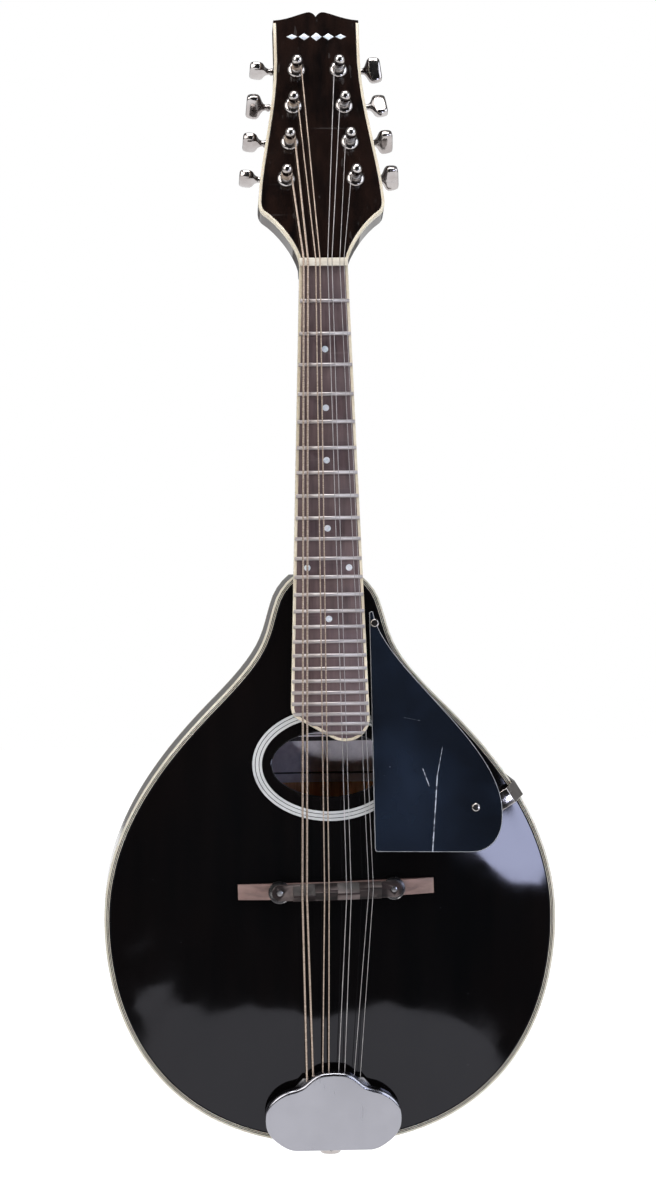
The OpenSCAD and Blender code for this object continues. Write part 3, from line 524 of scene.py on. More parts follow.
bridgeWood = finish("bridge rosewood", {
    "dark": (0.05, 0.026, 0.024), "light": (0.16, 0.095, 0.085), "grain": (34, (0.8, 6, 8)),
    "warp": 0.4, "mottleAndSheen": (40, (0.2, 0.14, 0.13), 0.5), "rough": (0.4, 0.62),
    "bumpScale": 260, "bumpStretch": (0.4, 4, 5), "bump": 0.4, "bumpDepth": 0.1 * mm,
    "specks": (500, 0.08, (0.4, 0.36, 0.34)), "wear": ((0.3, 0.2, 0.17), 0.53, 0.62)})
saddleWood = finish("saddle ebony", {
    "dark": (0.006, 0.005, 0.005), "light": (0.02, 0.013, 0.013), "grain": (40, (0.8, 6, 8)),
    "rough": (0.4, 0.55), "bumpScale": 260, "bumpStretch": (0.4, 4, 5), "bump": 0.3,
    "wear": ((0.16, 0.13, 0.125), 0.56, 0.66), "shader": {"Specular IOR Level": 0.2}})
fretWire = finish("nickel silver frets", {
    "dark": (0.36, 0.33, 0.34), "light": (0.52, 0.49, 0.5), "grain": (120, (0.2, 1, 4)),
    "rough": (0.4, 0.55), "bumpScale": 700, "bumpStretch": (1, 1, 6), "bump": 0.15,
    "mottleAndSheen": (90, (0.42, 0.37, 0.34), 0.4), "shader": {"Metallic": 1.0}})
pearl = finish("mother of pearl", {
    "dark": (0.36, 0.45, 0.55), "light": (0.72, 0.78, 0.8), "grain": (260, (1, 1, 1)),
    "warp": 2.5, "rough": (0.12, 0.25), "mottleAndSheen": (420, (0.62, 0.55, 0.6), 0.6),
    "shader": {"Coat Weight": 0.4}})
bone = finish("bone nut", {
    "dark": (0.55, 0.5, 0.42), "light": (0.72, 0.68, 0.6), "grain": (160, (0.4, 1, 2)),
    "rough": (0.28, 0.42), "bump": 0.12, "mottleAndSheen": (120, (0.45, 0.38, 0.28), 0.4)})
paper = finish("label paper", {
    "dark": (0.52, 0.5, 0.6), "light": (0.64, 0.62, 0.71), "grain": (300, (1, 1, 1)),
    "rough": (0.75, 0.9), "bumpScale": 900, "bump": 0.2, "mottleAndSheen": (26, (0.5, 0.46, 0.52), 0.5)})
ink = finish("printed rule", {
    "dark": (0.012, 0.012, 0.016), "light": (0.03, 0.03, 0.036), "grain": (500, (1, 1, 1)),
    "rough": (0.6, 0.75), "bump": 0.1})
nickel = finish("nickel plate", {
    "dark": (0.35, 0.32, 0.31), "light": (0.49, 0.47, 0.465), "grain": (90, (1, 1, 1)),
    "rough": (0.08, 0.18), "fineScale": 240, "bumpScale": 160, "bump": 0.05,
    "mottleAndSheen": (60, (0.46, 0.42, 0.4), 0.4), "scratches": (500, 0.12, (0.4, 0.4, 0.42)),
    "shader": {"Metallic": 1.0}})
steel = finish("plain steel", {
    "dark": (0.36, 0.36, 0.37), "light": (0.52, 0.52, 0.54), "grain": (140, (1, 1, 4)),
    "rough": (0.26, 0.42), "bumpScale": 500, "bump": 0.15,
    "mottleAndSheen": (70, (0.3, 0.27, 0.25), 0.5), "shader": {"Metallic": 1.0}})
darkSteel = finish("dark steel", {
    "dark": (0.035, 0.034, 0.036), "light": (0.09, 0.088, 0.092), "grain": (200, (1, 1, 1)),
    "rough": (0.16, 0.3), "bump": 0.1, "wear": ((0.6, 0.58, 0.58), 0.53, 0.6),
    "shader": {"Metallic": 1.0}})
brass = finish("brass gears", {
    "dark": (0.42, 0.27, 0.1), "light": (0.66, 0.48, 0.2), "grain": (160, (1, 1, 1)),
    "rough": (0.2, 0.36), "bump": 0.12, "mottleAndSheen": (120, (0.3, 0.19, 0.08), 0.5),
    "shader": {"Metallic": 1.0}})
coverChrome = finish("satin chrome cover", {
    "dark": (0.3, 0.3, 0.33), "light": (0.35, 0.35, 0.385), "grain": (22, (1, 1, 1)),
    "rough": (0.15, 0.24), "fineScale": 60, "bumpScale": 26, "bump": 0.05,
    "mottleAndSheen": (16, (0.27, 0.27, 0.3), 0.5), "scratches": (240, 0.12, (0.24, 0.24, 0.27)),
    "shader": {"Metallic": 1.0}})
bronze = finish("wound bronze string", {
    "dark": (0.3, 0.23, 0.18), "light": (0.56, 0.46, 0.38), "grain": (2200, (0.2, 0.2, 1)),
    "rough": (0.34, 0.5), "bumpScale": 2600, "bumpStretch": (0.1, 0.1, 1), "bump": 0.5,
    "shader": {"Metallic": 1.0}})
plainWire = finish("plain steel string", {
    "dark": (0.34, 0.32, 0.32), "light": (0.48, 0.46, 0.46), "grain": (500, (1, 1, 0.2)),
    "rough": (0.36, 0.48), "bump": 0.05, "shader": {"Metallic": 1.0}})
# the guard's pale blue mottle is painted sheen: patches of soft blue light painted into the
# plastic's colour
guardBlack = finish("pickguard plastic", {
    "dark": (0.0035, 0.005, 0.0085), "light": (0.006, 0.009, 0.016), "grain": (14, (1, 1, 1)),
    "mottleAndSheen": (16, (0.012, 0.019, 0.036), 0.7), "rough": (0.12, 0.2), "fineScale": 30,
    "bumpScale": 24, "bump": 0.08, "specks": (300, 0.1, (0.5, 0.52, 0.6)),
    "marks": [(0.0596, -0.2862, 0.0563, -0.3285, 0.4 * mm), (0.0628, -0.2702, 0.0596, -0.2862,
              0.2 * mm), (0.0515, -0.2822, 0.055, -0.292, 0.3 * mm), (0.0985, -0.2752, 0.1035,
              -0.2885, 0.16 * mm), (0.0415, -0.2535, 0.0505, -0.2555, 0.2 * mm)]})
guardEdge = finish("pickguard pale ply", {
    "dark": (0.3, 0.31, 0.34), "light": (0.48, 0.49, 0.52), "grain": (90, (1, 1, 1)),
    "rough": (0.25, 0.4), "bump": 0.08})
print("materials made:", len(bpy.data.materials))

board = {"topRings": 34, "backRings": 40, "gather": 1.15, "rosetteOff": (5.7 * mm, 7.8 * mm),
         "rosetteWide": 5.4 * mm, "ribThick": 2.2 * mm, "middleWide": 2 * mm}


def ovalRing(ring, wide, high, peak, y, centre=-holeZ):
    # the oval's points seen from its centre in the same directions as the ring's
    found = []
    for p in ring:
        angle = math.atan2(p.x / wide, (p.z - centre) / high)
        x, z = wide * math.sin(angle), centre + high * math.cos(angle)
        found.append(Vector((x, y - rise(x, z, peak), z)))
    return found


def archedRings(ring, target, peak, y, steps):
    # rings that close from the outline onto the target, lying on the arch
    made = []
    for k in range(steps):
        part = 1 - (1 - k / steps) ** board["gather"]
        mixed = [a.lerp(b, part) for a, b in zip(ring, target)]
        made.append([Vector((p.x, y - rise(p.x, p.z, peak) * (k > 0), p.z)) for p in mixed])
    return made


def thickened(bm, depth, innerSlot):
    # a second skin behind the first, with walls at every open edge
    faces = bm.faces[:]
    grown = bmesh.ops.extrude_face_region(bm, geom=faces, use_keep_orig=True)["geom"]
    for g in grown:
        if isinstance(g, bmesh.types.BMVert):
            g.co.y += depth
        elif isinstance(g, bmesh.types.BMFace):
            g.material_index = innerSlot
    bmesh.ops.recalc_face_normals(bm, faces=bm.faces)
    return bm


offX, offZ = board["rosetteOff"]
wideRing = board["rosetteWide"]
outline = bodyRing(sizes["bindingWide"], topY)


def holeRing(extraX, extraZ, y=topY):
    return ovalRing(outline, sizes["holeWide"] + extraX, sizes["holeHigh"] + extraZ,
                    sizes["topArch"], y)


topRings = archedRings(outline, holeRing(offX + wideRing, offZ + wideRing), sizes["topArch"],
                       topY, board["topRings"])
topRings += [holeRing(offX + wideRing * k, offZ + wideRing * k) for k in (1, 0.5, 0)]
topRings += [holeRing(offX * k, offZ * k) for k in (0.7, 0.35, 0.09)]
topRings += [holeRing(0, 0, topY + 0.4 * mm)]
piece("arched_top", thickened(loft(topRings), sizes["plateThick"], 1),
      [blackLacquer, spruceBare], stands="top_plate", smoothTo=50)

backCentre = -jointZ - 0.5 * bodyLong
backRing = bodyRing(sizes["bindingWide"], 0)
backTarget = ovalRing(backRing, board["middleWide"], board["middleWide"], 0, 0, backCentre)
backRings = archedRings(backRing, backTarget, sizes["backArch"], 0, board["backRings"])
backRings.append([Vector((p.x, -rise(p.x, p.z, sizes["backArch"]), p.z)) for p in backTarget])
arched = thickened(loft(backRings, capEnd=True), sizes["plateThick"], 1)
piece("arched_back", placed(arched, shift(0, backY, 0) @ Matrix.Scale(-1, 4, (0, 1, 0))),
      [darkLacquer, mapleBare], stands="back_plate", smoothTo=50)

ribThick = board["ribThick"]
sideFront, sideBack = topY + sizes["plateThick"], backY - sizes["plateThick"]
sideRings = [bodyRing(0, sideFront), bodyRing(0, (sideFront * 2 + sideBack) / 3),
             bodyRing(0, (sideFront + sideBack * 2) / 3), bodyRing(0, sideBack),
             bodyRing(ribThick, sideBack), bodyRing(ribThick, sideFront), bodyRing(0, sideFront)]
sides = seamed(loft(sideRings, rows=[0, 0, 0, 1, 1, 1]))
piece("bent_sides", sides, [darkLacquer, mapleBare], stands="ribs")

# binding plies from the outside in: width and whether it is ivory
plies = {"widths": [1.15, 0.4, 0.32, 0.45, 0.32, 0.76], "ivory": [1, 0, 1, 0, 1, 0],
         "round": 0.35 * mm}


def bindingStrip(face, direction):
    # direction is +1 where the strip goes back from the top's face, -1 at the back
    depth = sizes["plateThick"] * direction
    easing = plies["round"]
    rings = [bodyRing(sizes["bindingWide"], face + depth), bodyRing(0, face + depth),
             bodyRing(0, face + easing * direction),
             bodyRing(easing * 0.3, face + easing * 0.3 * direction), bodyRing(easing, face)]
    rows = [0, 0, 0, 0]
    reach = 0.0
    for wide, pale in zip(plies["widths"], plies["ivory"]):
        reach += wide * mm
        rings.append(bodyRing(reach, face))
        rows.append(0 if pale else 1)
    rings.append(rings[0])
    rows.append(1)
    return seamed(loft(rings, rows=rows))


piece("top_binding", bindingStrip(topY, 1), [ivory, plyBlack],
      stands="binding_front", smoothTo=50)
piece("back_binding", bindingStrip(backY, -1), [ivory, plyBlack],
      stands="binding_back", smoothTo=50)

rings = {"widths": [1.45, 0.34, 1.82, 0.34, 1.45], "ivory": [1, 0, 1, 0, 1], "proud": 0.06 * mm}
rosetteRings, rosetteRows, reach = [holeRing(offX + wideRing, offZ + wideRing)], [], wideRing
for wide, pale in zip([0.01] + rings["widths"], [1] + rings["ivory"]):
    reach -= wide * mm * wideRing / (sum(rings["widths"]) * mm + 0.01 * mm)
    rosetteRings.append(holeRing(offX + reach, offZ + reach, topY - rings["proud"]))
    rosetteRows.append(0 if pale else 1)
rosetteRings.append(holeRing(offX, offZ, topY + 0.5 * mm))
rosetteRings += [holeRing(offX + wideRing, offZ + wideRing, topY + 0.5 * mm), rosetteRings[0]]
ringStrip = seamed(loft(rosetteRings, rows=rosetteRows + [0, 0, 0]), 1e-7)
piece("rosette_rings", ringStrip, [rosetteWhite, plyBlack], stands="rosette",
      smoothTo=60)

label = {"wide": 80 * mm, "high": 46 * mm, "low": -15 * mm, "thin": 0.4 * mm,
         "rules": [(5.2 * mm, 6.2 * mm), (24 * mm, 26.5 * mm), (27.3 * mm, 28 * mm)]}


def labelSheet():
    bm = bmesh.new()
    bmesh.ops.create_grid(bm, x_segments=24, y_segments=92, size=0.5)
    lift = backY - sizes["plateThick"] - 0.15 * mm
    for v in bm.verts:
        x = v.co.x * label["wide"]
        z = -holeZ + label["low"] + (v.co.y + 0.5) * label["high"]
        v.co = Vector((x, lift + rise(x, z, sizes["backArch"]), z))
    for f in bm.faces:
        up = f.calc_center_median().z + holeZ - label["low"]
        inside = abs(f.calc_center_median().x) < label["wide"] / 2 - 3 * mm
        if inside and any(low < up < high for low, high in label["rules"]):
            f.material_index = 1
    bmesh.ops.solidify(bm, geom=bm.faces[:], thickness=label["thin"])
    bmesh.ops.recalc_face_normals(bm, faces=bm.faces)
    return bm


piece("paper_label", labelSheet(), [paper, ink], stands="label")
print("body made")

# each piece of neck and head: its CAD node, edge rounding, look, slot and shading angle
neckPieces = {
    "neck_wood": ("neck", 0, darkLacquer, "dark_back", 33),
    "heel_plate": ("heel_cap", 0.25, ivory, "cream_binding", 38),
    "finger_board": ("fretboard", 0.15, rosewood, "rosewood", 38),
    "board_edging": ("fretboard_binding", 0.2, creamBinding, "cream_binding", 38),
    "fret_wires": ("frets", 0, fretWire, "fret_wire", 50),
    "nut_block": ("nut", 0.25, bone, "cream_binding", 38),
    "head_face": ("head_veneer", 0.2, headLacquer, "black_gloss", 1),
    "head_edging": ("head_binding", 0.2, creamBinding, "cream_binding", 38),
    "head_lozenges": ("head_ornament", 0.1, pearl, "pearl", 38),
}
for name, (node, edge, look, slotName, angle) in neckPieces.items():
    piece(name, softened(node, edge * mm), look, stands=node, smoothTo=angle)
print("neck and head made")

headLong, rowShare = 156 * mm, 0.5423  # the rows' middle, as a share of the head's length
tuner = {"rowX": 15.85 * mm, "rowUp": headLong * rowShare, "tilt": math.radians(6.3),
         "gap": 23 * mm, "wormGap": 6.6 * mm, "shaftDepth": 21.5 * mm, "plateEdge": 0.18 * mm,
         "postR": 3 * mm, "waist": 1.7 * mm, "waistIn": 0.7 * mm, "teeth": 16,
         "gearR": 4.3 * mm, "gearThick": 2.6 * mm, "toothDeep": 0.8 * mm,
         "gearDown": 22.8 * mm}
button = {"start": 16 * mm, "turn": [90, 57, 84, 90, 4, -20, 66, 56],
          "stations": [(0.0, 1.7, 1.7), (0.9, 1.9, 2.0), (2.0, 2.2, 3.6), (3.4, 2.7, 6.4),
                       (4.6, 2.95, 7.5), (6.5, 3.0, 7.65), (8.6, 3.0, 7.35), (9.9, 2.85, 6.85),
                       (10.5, 2.45, 6.3), (10.78, 1.7, 5.3)],
          "points": 40, "squareFrom": 2.5, "square": 0.5, "round": 0.9}
worm = {"turns": 7, "start": -3.4, "pitch": 0.98, "root": 1.55, "crest": 2.08}


def side(i):
    return -1 if i < 4 else 1


def upRow(i):
    return (1.5 - i % 4) * tuner["gap"]


def rowPlace(i):
    place = headPlace @ shift(side(i) * tuner["rowX"], 0, tuner["rowUp"])
    place = place @ turn(-side(i) * tuner["tilt"], "Y")
    return place @ Matrix.Scale(-1, 4, (1, 0, 0)) if i < 4 else place


def postPlace(i):
    # +Z comes out of the head's face along the post
    place = headPlace @ shift(side(i) * tuner["rowX"], 0, tuner["rowUp"])
    place = place @ turn(-side(i) * tuner["tilt"], "Y") @ shift(0, 0, upRow(i))
    return place @ turn(math.pi / 2, "X")


def mmLine(points):
    return [(r * mm, h * mm) for r, h in points]


def bushing():
    return turned(mmLine([(4.15, -2.9), (4.15, -2.55), (5.0, -2.5), (5.05, -2.2), (4.95, -1.85),
                          (4.5, -1.35), (3.9, -0.95), (3.35, -0.85), (3.1, -1.1), (3.1, -2.6)]), 40)


def post():
    body = turned(mmLine([(0, -21.4), (3, -21.4), (3, -0.4), (2.85, 0.1), (2.45, 0.6), (2.25, 1.1),
                          (2.2, 3.2), (2.3, 4.6), (2.6, 5.7), (2.95, 6.6), (3.0, 7.4), (3.0, 9.6),
                          (2.9, 10.5), (2.6, 11.3), (2.1, 11.95), (1.3, 12.35), (0, 12.5)]), 40)
    cog = bmesh.new()
    rim = bmesh.ops.create_circle(cog, cap_ends=True, segments=tuner["teeth"] * 4,
                                  radius=tuner["gearR"])["verts"]
    for k, v in enumerate(rim):
        if k % 4 in (0, 3):
            v.co *= (tuner["gearR"] - tuner["toothDeep"]) / tuner["gearR"]
    pushedUp(cog, tuner["gearThick"])
    bmesh.ops.translate(cog, vec=(0, 0, -tuner["gearDown"]), verts=cog.verts)
    bmesh.ops.recalc_face_normals(cog, faces=cog.faces)
    for f in cog.faces:
        f.material_index = 1
    screw = turned(mmLine([(0, -23.9), (1.7, -23.85), (2.15, -23.5), (2.2, -22.7), (0, -22.7)]), 28)
    return joined(body, cog, screw)


def wormButton(i):
    # worm shaft along +Z, then the flared button, then turned to lie along the row's +X
    grooves = []
    for k in range(worm["turns"]):
        up = worm["start"] + k * worm["pitch"]
        grooves += [(worm["root"], up), (worm["crest"], up + 0.28), (worm["crest"], up + 0.6),
                    (worm["root"], up + 0.88)]
    shaft = turned(mmLine([(0, -7), (1.45, -7), (1.6, -6.8), (1.6, -3.5)] + grooves
                          + [(1.6, 3.5), (1.6, 13.2), (2.1, 13.3), (2.2, 14.0), (2.1, 14.7),
                             (1.65, 14.9), (1.65, 16.4), (0, 16.4)]), 28)
    rings = []
    for up, thick, broad in button["stations"]:
        ring = []
        power = button["square"] if up > button["squareFrom"] else button["round"]
        for k in range(button["points"]):
            angle = math.tau * k / button["points"]
            c, s = math.cos(angle), math.sin(angle)
            ring.append(Vector((math.copysign(abs(c) ** power, c) * thick * mm,
                                math.copysign(abs(s) ** power, s) * broad * mm,
                                button["start"] + up * mm)))
        rings.append(ring)
    grip = loft(rings, capStart=True, capEnd=True)
    # +Z to +X, with the button's breadth along the row
    along = Matrix(((0, 0, 1, 0), (1, 0, 0, 0), (0, 1, 0, 0), (0, 0, 0, 1)))
    placed(grip, turn(math.radians(button["turn"][i]), "X") @ along)
    placed(shaft, along)
    place = rowPlace(i) @ shift(0, tuner["shaftDepth"], upRow(i) + tuner["wormGap"])
    return placed(joined(shaft, grip), place)


collars = joined(*[placed(bushing(), postPlace(i)) for i in range(8)])
piece("post_bushings", collars, nickel, stands="tuner_bushings")
for i in range(8):
    piece(f"string_post_{i + 1}", placed(post(), postPlace(i)), [nickel, brass],
          body=f"tuner_post_{i + 1}", stands=f"post_{i + 1}", smoothTo=42)
    piece(f"tuner_key_{i + 1}", wormButton(i), nickel,
          body=f"tuner_button_{i + 1}", stands=f"button_{i + 1}", smoothTo=50)
for part in ("bass", "treble"):
    piece(f"machine_plate_{part}", softened(f"tuner_plate_{part}", tuner["plateEdge"]), nickel,
          stands=f"tuner_plate_{part}")
print("tuning machines made")

stringSet = {"radius": [0.51, 0.51, 0.33, 0.33, 0.19, 0.19, 0.14, 0.14], "nut": (6.8, 2.4),
             "bridge": (12.35, 2.5), "tail": (8.75, 3.5), "post": [3, 2, 1, 0, 4, 5, 6, 7],
             "step": [-1.6, 0.9, -1.1, 1.5], "atNut": 1.3 * mm, "rise": 2.8 * mm,
             "skew": math.radians(1.2), "drawn": 1.12, "hook": (-3 * mm, 38.1 * mm)}
coils = {"wound": 3.5, "plain": 4.5, "perTurn": 14, "reach": 2.25 * mm, "pitch": 2.222,
         "endOut": 3.9 * mm, "endUp": 3 * mm, "sides": 8}


def across(i, spacing):
    course, pair = spacing
    return ((i // 2 - 1.5) * course + (i % 2 - 0.5) * pair) * mm


saddleTop = (neckPlace @ Vector((0, -stringSet["atNut"] - stringSet["rise"], -sizes["scale"]))).y
for i in range(8):
    r = stringSet["radius"][i] * mm
    p = stringSet["post"][i]
    at = postPlace(p)
    inner = -side(p) * (tuner["postR"] - tuner["waistIn"] + r + 0.1 * mm)
    landing = at @ Vector((inner, 0, tuner["waist"]))
    nutX, crestX = across(i, stringSet["nut"]), across(i, stringSet["bridge"])
    crestZ = -bridgeZ - sizes["bridgeBelow"] + stringSet["step"][i // 2] * mm
    crestZ += crestX * math.sin(stringSet["skew"])
    hookY, hookZ = stringSet["hook"]
    hook = tailPlace @ Vector((across(i, stringSet["tail"]), hookY, hookZ + r))
    line = [landing,
            neckPlace @ Vector((nutX, -stringSet["atNut"] - r, sizes["nutThick"])),
            neckPlace @ Vector((nutX, -stringSet["atNut"] - r, 0)),
            Vector((bridgeX + crestX, saddleTop - r, crestZ + 0.5 * mm)),
            Vector((bridgeX + crestX, saddleTop - r, crestZ - 0.4 * mm)), hook]
    wire = bronze if i < 4 else plainWire
    piece(f"string_{i + 1}", tube(line, r * stringSet["drawn"]), wire,
          stands="strings" if i == 0 else (), smoothTo=80)
    # coils on the post, wound down towards the head, and the cut end
    turns = coils["wound"] if i < 4 else coils["plain"]
    perTurn, reach = coils["perTurn"], coils["reach"] + r
    start = 0 if side(p) < 0 else math.pi
    coil = []
    for k in range(int(turns * perTurn) + 1):
        angle = start + side(p) * math.tau * k / perTurn
        up = tuner["waist"] + coils["pitch"] * r * k / perTurn
        coil.append(at @ Vector((reach * math.cos(angle), reach * math.sin(angle), up)))
    last = at @ Vector((0, 0, tuner["waist"] + 2.3 * r * turns + 0.6 * mm))
    coil.append(coil[-1].lerp(last, 0.5))
    angle = random.Random(i).uniform(0, math.tau)
    out = coils["endOut"]
    coil += [last, at @ Vector((out * math.cos(angle), out * math.sin(angle),
                                tuner["waist"] + coils["endUp"]))]
    piece(f"winding_{i + 1}", tube(coil, r, coils["sides"]), wire,
          body=f"tuner_post_{p + 1}", smoothTo=80)
print("strings made")

wheel = {"knurls": 44, "radius": 6.4 * mm, "thick": 2 * mm, "cut": 0.22 * mm,
         "rounded": 0.3 * mm}


def thumbwheel(node):
    low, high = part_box(node)
    bm = bmesh.new()
    rim = bmesh.ops.create_circle(bm, cap_ends=True, segments=wheel["knurls"] * 2,
                                  radius=wheel["radius"])["verts"]
    for k, v in enumerate(rim):
        if k % 2:
            v.co *= (wheel["radius"] - wheel["cut"]) / wheel["radius"]
    pushedUp(bm, wheel["thick"])
    bmesh.ops.recalc_face_normals(bm, faces=bm.faces)
    rims = [e for e in bm.edges if abs(e.verts[0].co.z - e.verts[1].co.z) < 1e-7]
    bmesh.ops.bevel(bm, geom=rims, offset=wheel["rounded"], offset_type="OFFSET", segments=2,
                    profile=0.5, affect="EDGES", clamp_overlap=True, material=-1)
    centre = (low + high) / 2
    return placed(bm, shift(centre.x, high.y, centre.z) @ turn(math.pi / 2, "X"))


piece("bridge_foot", softened("bridge_base", 0.5 * mm, 3), bridgeWood,
      stands="bridge_base")
piece("bridge_posts", softened("bridge_studs", 0.3 * mm), steel, stands="bridge_studs")
piece("bridge_top", softened("bridge_saddle", 0.28 * mm, 3), saddleWood,
      body="saddle", stands="bridge_saddle")
for part in ("bass", "treble"):
    piece(f"bridge_wheel_{part}", thumbwheel(f"thumbwheel_{part}"), darkSteel,
          body=f"wheel_{part}", stands=f"thumbwheel_{part}")
print("bridge made")

cover = {"outline": [(0, 45.0), (6.5, 44.4), (10.8, 42.6), (14.1, 39.9), (17.4, 37.1),
                     (21.4, 35.3), (27.1, 33.6), (32.0, 30.7), (35.7, 27.0), (37.9, 22.6),
                     (38.5, 17.1), (37.7, 11.8), (35.0, 6.9), (30.6, 2.8), (26.1, -0.1),
                     (22.4, -1.3), (20.6, -1.5)],
         "middle": 20, "front": -7.2, "thick": 0.8, "points": 240,
         "steps": [(0.0, 2.0), (0.05, 1.3), (0.3, 0.7), (0.8, 0.28), (1.5, 0.05), (2.4, 0.0)]}


def smoothLine(points, steps=8):
    # a curve through every point
    line = []
    for k in range(len(points) - 1):
        before, start = points[max(k - 1, 0)], points[k]
        end, after = points[k + 1], points[min(k + 2, len(points) - 1)]
        line += interpolate_bezier(start, start + (end - before) / 6,
                                   end - (after - start) / 6, end, steps)[:-1]
    return line + [points[-1]]


def insetLoop(line, inset, y):
    # a closed line, clockwise seen from the front, moved inwards
    found = []
    for k, p in enumerate(line):
        run = (line[(k + 1) % len(line)] - line[k - 1]).normalized()
        found.append(Vector((p.x + run.z * inset, y, p.z - run.x * inset)))
    return found


half = smoothLine([Vector((x, 0, z)) * mm for x, z in cover["outline"]])
mirror = [Vector((-p.x, 0, p.z)) for p in reversed(half)]
coverLine = alongCurve(half + mirror[:-1] + [half[0]], cover["points"])[:-1]


def coverRing(inset, down):
    return insetLoop(coverLine, inset * mm, (cover["front"] + down) * mm)


def coverShell():
    thick, depth = cover["thick"], -1.5 - cover["front"]
    outer = [coverRing(inset, down) for down, inset in cover["steps"]] + [coverRing(0, depth)]
    inner = [coverRing(thick, depth), coverRing(thick, 2.4), coverRing(thick + 0.7, thick + 0.4),
             coverRing(thick + 1.6, thick)]
    hub = Vector((0, 0, cover["middle"] * mm))
    front = [[p.lerp(Vector((0, p.y, hub.z)), part) for p in outer[0]] for part in (0.9, 0.5, 0.15)]
    behind = [[p.lerp(Vector((0, p.y, hub.z)), 0.9) for p in inner[-1]]]
    return placed(loft(front + outer + inner + behind, capStart=True, capEnd=True), tailPlace)


piece("tail_cover", coverShell(), coverChrome, body="cover",
      stands="tailpiece_cover", smoothTo=45)
pinPlace = shift(0, (topY + backY) / 2, -bodyEnd)
pinShape = [(0, 19), (3.2, 19), (4, 0), (5.6, 0), (5.65, -0.7), (5.3, -1.3), (4.4, -1.9),
            (3.7, -2.7), (3.6, -3.8), (3.9, -4.8), (5.0, -5.4), (5.7, -5.7), (6.0, -6.4),
            (6.0, -8.4), (5.7, -9.2), (4.8, -9.75), (2.6, -10.0), (0, -10.0)]
piece("strap_pin", placed(turned(mmLine(pinShape), 48), pinPlace), nickel,
      stands="end_pin")
print("tail made")

guard = {"front": 2.4 * mm, "thick": 2.5 * mm, "in": 22.8 * mm, "top": -175 * mm}


def guardPoint(x, z):
    return Vector((x * mm, 0, guard["top"] + z * mm))


def guardRings():
    into = guard["in"] / mm
    line = [guardPoint(into, -20)]
    line += interpolate_bezier(guardPoint(into + 2, -19), guardPoint(30, -53),
                               guardPoint(97, -93), guardPoint(96, -134), 60)
    line += interpolate_bezier(guardPoint(96, -134), guardPoint(96, -147), guardPoint(89, -155),
                               guardPoint(78, -155), 24)[1:]
    line += [guardPoint(into + 2, -154), guardPoint(into + 1.2, -153)]
    line = alongCurve(line + [line[0]], 260)[:-1]

    front, back = guard["front"], guard["front"] + guard["thick"]
    easing = 0.35 * mm
    return [insetLoop(line, inset, y) for inset, y in (
        (easing, back), (0, back - easing * 0.6), (0, front + 1.5 * mm), (0, front + 0.75 * mm),
        (0.12 * mm, front + 0.25 * mm), (easing, front))]


slab = loft(guardRings(), rows=[1, 1, 0, 1, 0, 0], capStart=True, capEnd=True)
for f in slab.faces:
    if len(f.verts) > 8:
        f.material_index = 1
piece("finger_rest", placed(slab, neckPlace), [guardEdge, guardBlack],
      stands="pickguard", smoothTo=30)
piece("rest_pins", softened("pickguard_pins", 0.2 * mm), nickel,
      stands="pickguard_pins")
piece("rest_bracket", softened("pickguard_bracket", 0.25 * mm), nickel,
      stands="pickguard_bracket")

# CAD nodes that keep their own shape
kept = {"neck_block": spruceBare, "tail_block": spruceBare, "lining_front": spruceBare,
        "lining_back": spruceBare, "tone_bars": spruceBare, "truss_rod": steel,
        "position_markers": pearl, "tuner_screws": steel, "tailpiece_base": steel,
        "tailpiece_screws": steel, "extension_support": plyBlack}
for name, look in kept.items():
    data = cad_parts[name].data
    data.materials.clear()
    data.materials.append(look)
print("pickguard and kept parts made")

studio = {
    "floor": {"wide": 6.0, "front": -0.86, "curve": (2.4, 0.55), "mostCurve": 1.1, "back": 6.0,
              "under": 0.22, "ripples": [(0.03, 21, 0.8), (0.016, 53, 1)], "glow": 0.97},
    "camera": {"place": (-0.1162, -2.0, -0.1184), "pitch": math.radians(-1.84),
               "yaw": math.radians(3.34), "roll": math.radians(-0.58), "focal": 3557.3 / 1182 * 36},
    "lights": [
        {"name": "key", "place": (-2.2, -1.5, 1.5), "size": (2.6, 2.6), "power": 80,
         "colour": (1.0, 0.97, 0.94)},
        {"name": "fill", "place": (2.3, -1.2, 0.9), "size": (2.2, 2.4), "power": 52,
         "colour": (0.86, 0.91, 1.0)},
        {"name": "overhead", "place": (0, -0.5, 2.4), "size": (2.0, 1.4), "power": 75,
         "colour": (1.0, 0.99, 0.98)},
        {"name": "softbox", "place": (0.66, -1.33, -0.3), "size": (0.12, 0.3), "power": 2.2,
         "colour": (0.72, 0.77, 1.0), "roll": 0.5},
    ],
    "aim": (0, 0, -0.2),
    "beam": {"place": (-0.34, -1.6, -0.68), "power": 95, "width": 0.085, "blend": 0.5,
             "soft": 0.1, "depth": 0.02},
    "sky": {"From Min": -0.15, "From Max": 0.35, "To Min": 0.025, "To Max": 0.24},
}
lowest = firstBounds[0]
floorFacts = studio["floor"]
floorMesh = bmesh.new()
bmesh.ops.create_grid(floorMesh, x_segments=300, y_segments=2, size=1)
for v in floorMesh.verts:
    near = v.co.y < 0
    x = v.co.x * floorFacts["wide"]
    edge = floorFacts["front"] - min(floorFacts["curve"][x > 0] * x * x, floorFacts["mostCurve"])
    for tall, often, start in floorFacts["ripples"]:
        edge += tall * math.sin(x * often + start)
    v.co = Vector((x, edge if near else floorFacts["back"] * (v.co.y > 0),
                   lowest.z - floorFacts["under"]))
floorData = bpy.data.meshes.new("floor")
floorMesh.to_mesh(floorData)
floorMesh.free()
floorPiece = shown("floor", floorData)
floorData.materials.append(finish("pale floor", {
    "dark": (0.24, 0.24, 0.245), "light": (0.3, 0.3, 0.305), "grain": (2.5, (1, 1, 1)),
    "rough": (0.8, 0.95), "bump": 0.05,
    "shader": {"Emission Color": (1, 1, 1, 1), "Emission Strength": floorFacts["glow"]}}))

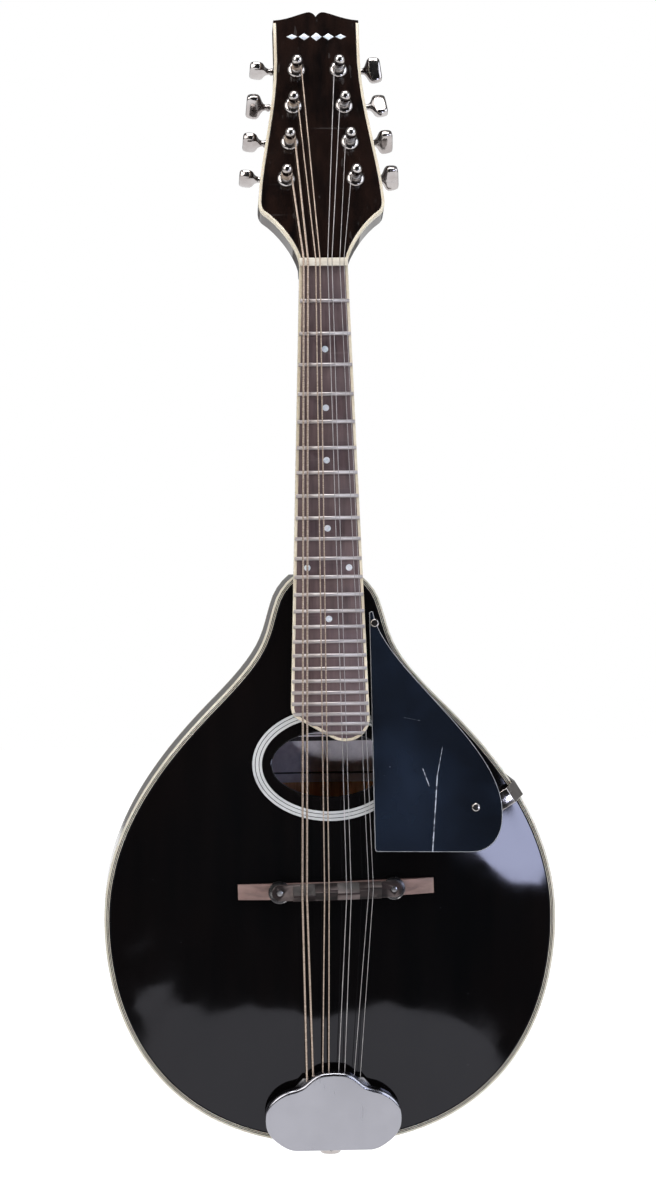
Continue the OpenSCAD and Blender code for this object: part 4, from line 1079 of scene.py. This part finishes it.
# a narrow beam reaches the label through the sound hole
beamFacts = studio["beam"]
beam = bpy.data.lights.new("beam", "SPOT")
beam.energy, beam.spot_size = beamFacts["power"], beamFacts["width"]
beam.spot_blend, beam.shadow_soft_size = beamFacts["blend"], beamFacts["soft"]
beamHeld = shown("beam", beam)
beamHeld.visible_glossy = False
beamHeld.location = beamFacts["place"]
beamWay = Vector((0, beamFacts["depth"], -holeZ)) - beamHeld.location
beamHeld.rotation_euler = beamWay.to_track_quat("-Z", "Y").to_euler()

for lamp in studio["lights"]:
    data = bpy.data.lights.new(lamp["name"], "AREA")
    data.shape = "RECTANGLE"
    data.size, data.size_y = lamp["size"]
    data.energy = lamp["power"]
    data.color = lamp["colour"]
    held = shown(lamp["name"], data)
    held.location = lamp["place"]
    aim = Vector(studio["aim"]) - held.location
    aimed = aim.to_track_quat("-Z", "Y").to_matrix() @ Matrix.Rotation(lamp.get("roll", 0), 3, "Z")
    held.rotation_euler = aimed.to_euler()

# pale backdrop behind the instrument, dim room in front of it
world = bpy.data.worlds.new("studio")
bpy.context.scene.world = world
world.use_nodes = True
tree = world.node_tree
sky = tree.nodes["Background"]
direction = tree.nodes.new("ShaderNodeTexCoord")
split = tree.nodes.new("ShaderNodeSeparateXYZ")
shade = tree.nodes.new("ShaderNodeMapRange")
tree.links.new(direction.outputs["Generated"], split.inputs[0])
tree.links.new(split.outputs["Y"], shade.inputs["Value"])
for socket, value in studio["sky"].items():
    shade.inputs[socket].default_value = value
path = tree.nodes.new("ShaderNodeLightPath")
seen = tree.nodes.new("ShaderNodeMix")
tree.links.new(path.outputs["Is Camera Ray"], seen.inputs[0])
tree.links.new(shade.outputs[0], seen.inputs[2])
seen.inputs[3].default_value = 1.0
tree.links.new(seen.outputs[0], sky.inputs["Strength"])
sky.inputs["Color"].default_value = (1, 1, 1, 1)
bpy.context.scene.view_settings.view_transform = "Standard"

eye = studio["camera"]
lens = bpy.data.cameras.new("camera")
lens.lens, lens.sensor_width = eye["focal"], 36
lens.clip_start, lens.clip_end = 0.05, 50
camera = shown("camera", lens)
forward = Vector((math.sin(eye["yaw"]) * math.cos(eye["pitch"]),
                  math.cos(eye["yaw"]) * math.cos(eye["pitch"]), math.sin(eye["pitch"])))
level = Vector((math.cos(eye["yaw"]), -math.sin(eye["yaw"]), 0))
upright = level.cross(forward)
right = math.cos(eye["roll"]) * level + math.sin(eye["roll"]) * upright
up = right.cross(forward)
camera.matrix_world = Matrix.Translation(eye["place"]) @ Matrix(
    (right, up, -forward)).transposed().to_4x4()
bpy.context.scene.camera = camera
